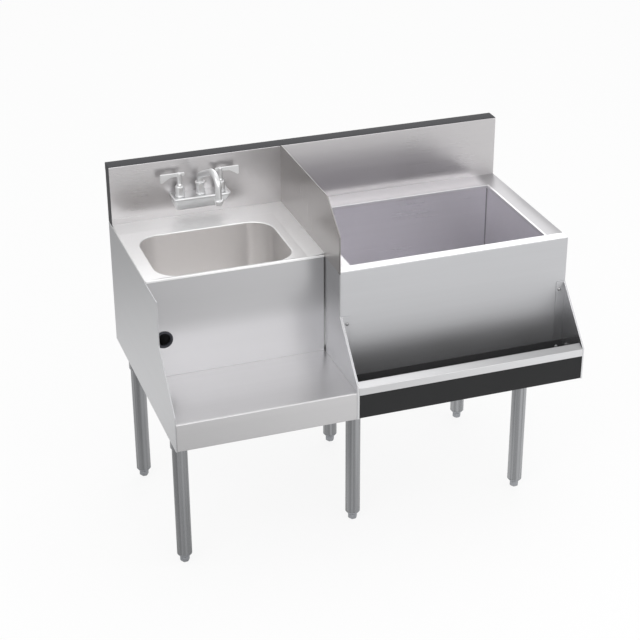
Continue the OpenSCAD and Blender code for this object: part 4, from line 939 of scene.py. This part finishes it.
def make_faucet_body():
    """Cast faucet body, a stack of outlines flat against the splash: it widens upwards in a slightly bowed
    face, rolls over a bead at the top and drops to a recessed plate."""
    piece = Piece("faucet_body_cast")
    back, low, plate = SPLASH_T + GAP, PLATE_Z - 46.0, PLATE_Z - 2.0
    half_top, depth_top, bead = 73.0, 51.0, 3.0
    rise = np.linspace(0.0, 1.0, 9)
    bow = np.sin(rise * np.pi) * 1.6
    wide, deep = 62.0 + 11.5 * rise + bow, 18.0 + 33.0 * rise + bow
    height = low + 2.5 + (PLATE_Z - 2 * bead - low - 2.5) * rise
    stack = [(58.5, 14.0, low), (60.8, 16.4, low + 0.7)] + list(zip(wide, deep, height))
    for a in np.radians(np.linspace(-60.0, 120.0, 10)):
        out, up = bead * math.cos(a), bead * math.sin(a)
        stack.append((half_top + out, depth_top + out, PLATE_Z - bead + up))
    stack += [(71.0, 49.0, PLATE_Z - 1.6), (70.0, 48.0, plate), (40.0, 20.0, plate)]
    loops = []
    for half, depth, z in stack:
        left, right, front = FAUCET_X - half, FAUCET_X + half, SPLASH_T + depth
        outline = softened([(left, back), (right, back), (right, back + 1.2), (right, front), (left, front),
                            (left, back + 1.2)], (0.02, 0.02, 0.02, 9.0, 9.0, 0.02), True, 10)
        loop = at_height(outline, z)
        loop[:, 2] = np.where(loop[:, 1] < back + 0.5, np.minimum(loop[:, 2], plate), loop[:, 2])
        loops.append(loop)
    piece.surface(np.stack(loops), True, True)
    piece.make("chrome", ["faucet_body"], sharp=50.0)


def valve_x(side):
    """The axis of the left (-1) or right (1) valve."""
    return FAUCET_X + side * VALVE_SPREAD / 2


def make_bonnet(name, side):
    """Valve bonnet: foot flange, cove, straight barrel, rounded shoulder and a dished top round the stem."""
    profile = softened([(0.0, 0.0), (12.0, 0.0), (12.0, 2.4), (11.5, 3.4), (11.8, 22.5), (11.8, 26.4),
                        (9.0, 29.9), (7.4, 29.9), (6.2, 28.4), (4.2, 28.4), (4.2, 20.0)],
                       (0.3, 0.8, 0.5, 1.5, 1.2, 1.2, 1.0, 0.8, 0.3), steps=5)
    piece = Piece(name + "_turned")
    piece.turned(profile, (valve_x(side), VALVE_Y, SEAT_Z), 56)
    piece.make("chrome", [name], sharp=50.0)


def make_handle(name, side, body):
    """Lever handle: flared skirt, waisted hub and a flat blade, deeper at its outer end, all edges eased."""
    skirt, top = PLATE_Z + 28.5, PLATE_Z + 62.0
    inner, outer, half_blade = -14.0, 50.0, 2.0
    hub = softened([(4.3, 0.0), (7.6, 0.0), (7.4, 1.2), (6.0, 4.6), (5.5, 14.0), (5.9, 22.0), (6.1, 31.5),
                    (4.6, 33.5), (0.0, 33.7)], (0.4, 0.8, 3.0, 12.0, 6.0, 1.0, 2.0), steps=6)
    piece = Piece(name + "_lever")
    piece.turned(hub, (valve_x(side), VALVE_Y, skirt), 48)
    blade = softened([(inner, top - 9.5), (8.0, top - 10.0), (25.0, top - 11.0), (46.0, top - 24.0),
                      (outer, top - 23.0), (outer, top), (inner, top)],
                     (4.0, 20.0, 14.0, 2.5, 2.0, 2.5, 3.5), True, 6)
    blade = np.stack([valve_x(side) + side * blade[:, 0], blade[:, 1]], 1)
    piece.extrusion(blade, VALVE_Y - half_blade, VALVE_Y + half_blade, 1)
    piece.make("chrome", [name], body, bevel=1.1, sharp=50.0)


def make_spout_nut():
    """Spout nut: foot, barrel, flared collar with two eased edges, bore round the spout."""
    profile = softened([(0.0, 0.0), (12.5, 0.0), (12.5, 2.4), (10.4, 4.0), (10.4, 26.5), (13.0, 30.0),
                        (13.0, 32.6), (11.6, 34.0), (8.6, 34.0), (8.6, 20.0)],
                       (0.3, 0.8, 1.2, 3.0, 1.0, 0.9, 0.9, 0.3), steps=5)
    piece = Piece("spout_nut_turned")
    piece.turned(profile, (FAUCET_X, VALVE_Y, SEAT_Z), 56)
    piece.make("chrome", ["spout_nut"], sharp=50.0)


def spout_line():
    """Centre line of the spout in its own plane, as distance out and height over the plate: riser, tight bend,
    rising run, wide crook and the drop to the mouth. Corners of the plain line are where its straights meet."""
    slope, reach, crest = math.radians(25.0), SPOUT_REACH, 96.0 - SPOUT_R
    bend_r, crook_r = 16.0, 34.0
    bend_x = bend_r * (1 - math.sin(slope))
    run = (reach - bend_x - crook_r * (1 + math.sin(slope))) / math.cos(slope)
    rise = bend_r * math.cos(slope) + run * math.sin(slope) - crook_r * math.cos(slope)
    riser_top = crest - crook_r - rise
    a = np.linspace(math.pi, math.pi / 2 + slope, 12)
    bend = np.stack([bend_r + bend_r * np.cos(a), riser_top + bend_r * np.sin(a)], 1)
    b = np.linspace(math.pi / 2 + slope, 0.0, 22)
    crook = np.stack([reach - crook_r + crook_r * np.cos(b), riser_top + rise + crook_r * np.sin(b)], 1)
    return np.concatenate([[(0.0, -1.0), (0.0, 12.0), (0.0, riser_top - 4.0)], bend, crook,
                           [(reach, 38.0), (reach, 27.0)]])


def make_spout():
    """Spout tube along its centre line, a little slimmer towards the mouth, with the aerator on its end."""
    line = spout_line()
    root = np.array([FAUCET_X, VALVE_Y])
    ahead = np.array([math.cos(SPOUT_TURN), math.sin(SPOUT_TURN)])
    path = np.concatenate([root + line[:, :1] * ahead, PLATE_Z + line[:, 1:]], 1)
    piece = Piece("spout_tube")
    piece.tube(path, SPOUT_R - 0.5 * np.linspace(0.0, 1.0, len(path)), (-ahead[1], ahead[0], 0.0), 40)
    piece.make("chrome", ["spout"], "spout_body", sharp=60.0)
    mouth = (*(root + SPOUT_REACH * ahead), PLATE_Z + 13.0)
    profile = softened([(6.6, 1.5), (6.6, 0.0), (9.6, 0.0), (9.9, 8.0), (12.0, 9.2), (12.0, 12.6), (10.6, 14.6),
                        (8.3, 15.0), (8.2, 20.0)], (0.3, 0.8, 0.8, 0.8, 1.0, 1.0, 0.5), steps=5)
    screen = [(0.0, 3.2), (3.0, 3.2), (6.7, 3.4), (6.7, 1.6)]
    tip = Piece("aerator_turned")
    tip.turned(profile, mouth, 56).turned(screen, mouth, 56)
    tip.make("chrome", ["aerator"], "spout_body", sharp=50.0)


# ---- legs ----


def make_legs():
    """Leg tubes, sockets, tapered inserts and hexagonal feet."""
    sockets = Piece("leg_sockets_welded")
    inserts = Piece("leg_inserts_tapered")
    top = BODY_Z - GAP - 3.0
    bore, snug, stud = LEG_R - 1.6, LEG_R + 0.1, 6.0
    tube_profile = [(bore, 26.2), (LEG_R - 0.5, 26.0), (LEG_R, 26.7), (LEG_R, 200.0), (LEG_R, top), (bore, top),
                    (bore, 26.2)]
    collar = softened([(snug, top - 38.0), (22.5, top - 38.0), (22.5, top - 4.0), (26.0, top), (snug, top),
                       (snug, top - 38.0)], (1.4, 5.0, 0.3, 0.3), steps=5)
    insert = softened([(6.1, 16.1), (12.4, 16.1), (LEG_R, 24.6), (LEG_R, 25.9), (17.3, 25.95), (17.3, 47.0),
                       (6.1, 47.0), (6.1, 16.1)], (0.6, 1.0, 0.4, 0.2, 0.4, 0.4), steps=4)
    corner = np.radians(np.arange(6) * 60.0)
    hexagon = 12.5 * np.stack([np.cos(corner), np.sin(corner)], 1)
    hexagon_rings = ((0.66, 0.0), (0.72, 0.2), (0.97, 3.4), (1.0, 4.2), (1.0, 14.8), (0.95, 16.0))
    for name, (x, y) in LEGS.items():
        tube = Piece("leg_%s_tube" % name)
        tube.turned(tube_profile, (x, y, 0.0), 64)
        tube.make("leg", ["leg_" + name], sharp=50.0)
        sockets.extrusion(centred_loop((x, y), (58.0, 58.0), 6.0, 5), top, top + 3.0, 2)
        sockets.turned(collar, (x, y, 0.0), 56)
        inserts.turned(insert, (x, y, 0.0), 56)
        foot = Piece("foot_%s_hexagon" % name)
        foot.surface(np.stack([at_height(softened(hexagon * share, 0.9, True, 3) + (x, y), z)
                               for share, z in hexagon_rings]), True, True)
        foot.turned([(0.0, 15.0), (stud, 15.0), (stud, 70.2), (stud - 0.8, 71.0), (0.0, 71.0)], (x, y, 0.0), 40)
        foot.make("foot", ["foot_" + name], "foot_%s_body" % name, sharp=40.0)
    sockets.make("leg", ["leg_sockets"], bevel=0.4, sharp=50.0)
    inserts.make("foot", ["leg_inserts"], sharp=50.0)


make_splash()
make_deck()
make_bowl()
make_shelf()
make_divider()
make_side_panel("side_panel_left", True, "panel")
make_side_panel("side_panel_mid", False, "mid_panel")
make_apron()
make_grommet()
make_rim()
make_liner()
make_bin_front()
make_cap()
make_rail_end("rail_end_left", 1)
make_rail_end("rail_end_right", -1)
make_trough()
make_rail_screws()
make_faucet_body()
make_bonnet("valve_bonnet_left", -1)
make_bonnet("valve_bonnet_right", 1)
make_handle("handle_left", -1, "handle_left_body")
make_handle("handle_right", 1, "handle_right_body")
make_spout_nut()
make_spout()
make_legs()

# ---- room ----

WHITE = (1.0, 1.0, 1.0)
FLOOR_HALF = 14.0
OBJECT_MIDDLE = (0.0, 0.0, 0.6)
LAMPS = {
    "key_box": ((-2.6, -2.2, 3.4), OBJECT_MIDDLE, (2.2, 2.2), 24.0),
    "top_box": ((0.3, 0.2, 3.6), OBJECT_MIDDLE, (2.6, 2.0), 9.0),
    "right_box": ((3.2, -1.6, 2.0), (0.0, 0.0, 0.5), (1.6, 2.2), 14.0),
    "front_box": ((0.0, -4.9, 2.9), (0.0, 0.0, 0.5), (5.6, 2.0), 62.0),
}


def ray_kinds(nodes, *kinds):
    """Wires that are 1 for a ray of each kind named and else 0."""
    path = nodes.tree.nodes.new("ShaderNodeLightPath")
    return [Wire(nodes, path.outputs[kind]) for kind in kinds]


def world_light():
    """Studio light by direction: height sets the level, and a broad bright wall stands behind the object.

    The camera itself sees plain white."""
    world = bpy.data.worlds.new("studio")
    world.use_nodes = True
    bpy.context.scene.world = world
    sky = Nodes(world.node_tree)
    x, y, z = sky.axes(sky.node("ShaderNodeTexCoord", output=0))
    wall = y.held(0.1, 0.7) * z.held(0.05, 0.3) * (1.0 - z.held(0.7, 0.95)) * x.held(0.02, 0.26)
    behind_left = y.held(0.0, 0.5) * (1.0 - x.held(-0.2, 0.1))
    level = 0.74 + z.held(0.25, 0.6) * 0.2 - z.held(0.65, 0.95) * 0.16 + wall * 0.85 - behind_left * 0.2
    seen, through = ray_kinds(sky, "Is Camera Ray", "Is Transmission Ray")
    shown = (seen + through).least(1.0)
    back = sky.tree.nodes["Background"]
    sky.feed(back.inputs["Color"], WHITE)
    sky.feed(back.inputs["Strength"], level * (1.0 - shown) + shown)


def area_light(name, place, aim, size, power):
    """A soft box at a place, aimed at a point."""
    data = bpy.data.lights.new(name, "AREA")
    data.shape = "RECTANGLE"
    data.size, data.size_y = size
    data.energy = power
    lamp = linked(name, data)
    lamp.location = place
    lamp.rotation_euler = (Vector(aim) - Vector(place)).to_track_quat("-Z", "Y").to_euler()


def make_floor():
    """A wide white floor that keeps the object's shadow; mirrored in the steel, its level varies by place."""
    paint = Paint("studio_floor")
    seen, mirror, through = ray_kinds(paint, "Is Camera Ray", "Is Glossy Ray", "Is Transmission Ray")
    paint.fill(Base_Color=(0.86, 0.86, 0.86), Roughness=0.9, Specular_IOR_Level=0.0)
    x, y, z = paint.axes()
    ahead_left = y.held(0.0, 0.6) * (1.0 - x.held(-0.6, 0.0))
    level = (0.46 + x.held(-0.9, 0.5) * 0.5 + ahead_left * 0.3) * (1.0 - y.held(0.7, 1.8) * 0.55)
    glow = paint.node("ShaderNodeEmission", {}, {"Color": WHITE, "Strength": mirror * (level - 1.0) + 1.0})
    share = seen * 0.86 + through * 0.86 + mirror * 0.8
    both = paint.node("ShaderNodeMixShader", {}, {0: share, 1: Wire(paint, paint.shader.outputs[0]), 2: glow})
    paint.tree.links.new(both.socket, paint.tree.nodes["Material Output"].inputs["Surface"])
    corners = at_height(oblong(-FLOOR_HALF, -FLOOR_HALF, FLOOR_HALF, FLOOR_HALF), 0.0)
    mesh = bpy.data.meshes.new("floor")
    mesh.from_pydata(corners, [], [(0, 1, 2, 3)])
    mesh.materials.append(paint.material)
    floor = linked("floor", mesh)


world_light()
make_floor()
for lamp_name, lamp_values in LAMPS.items():
    area_light(lamp_name, *lamp_values)

bpy.context.scene.view_settings.view_transform = "Standard"
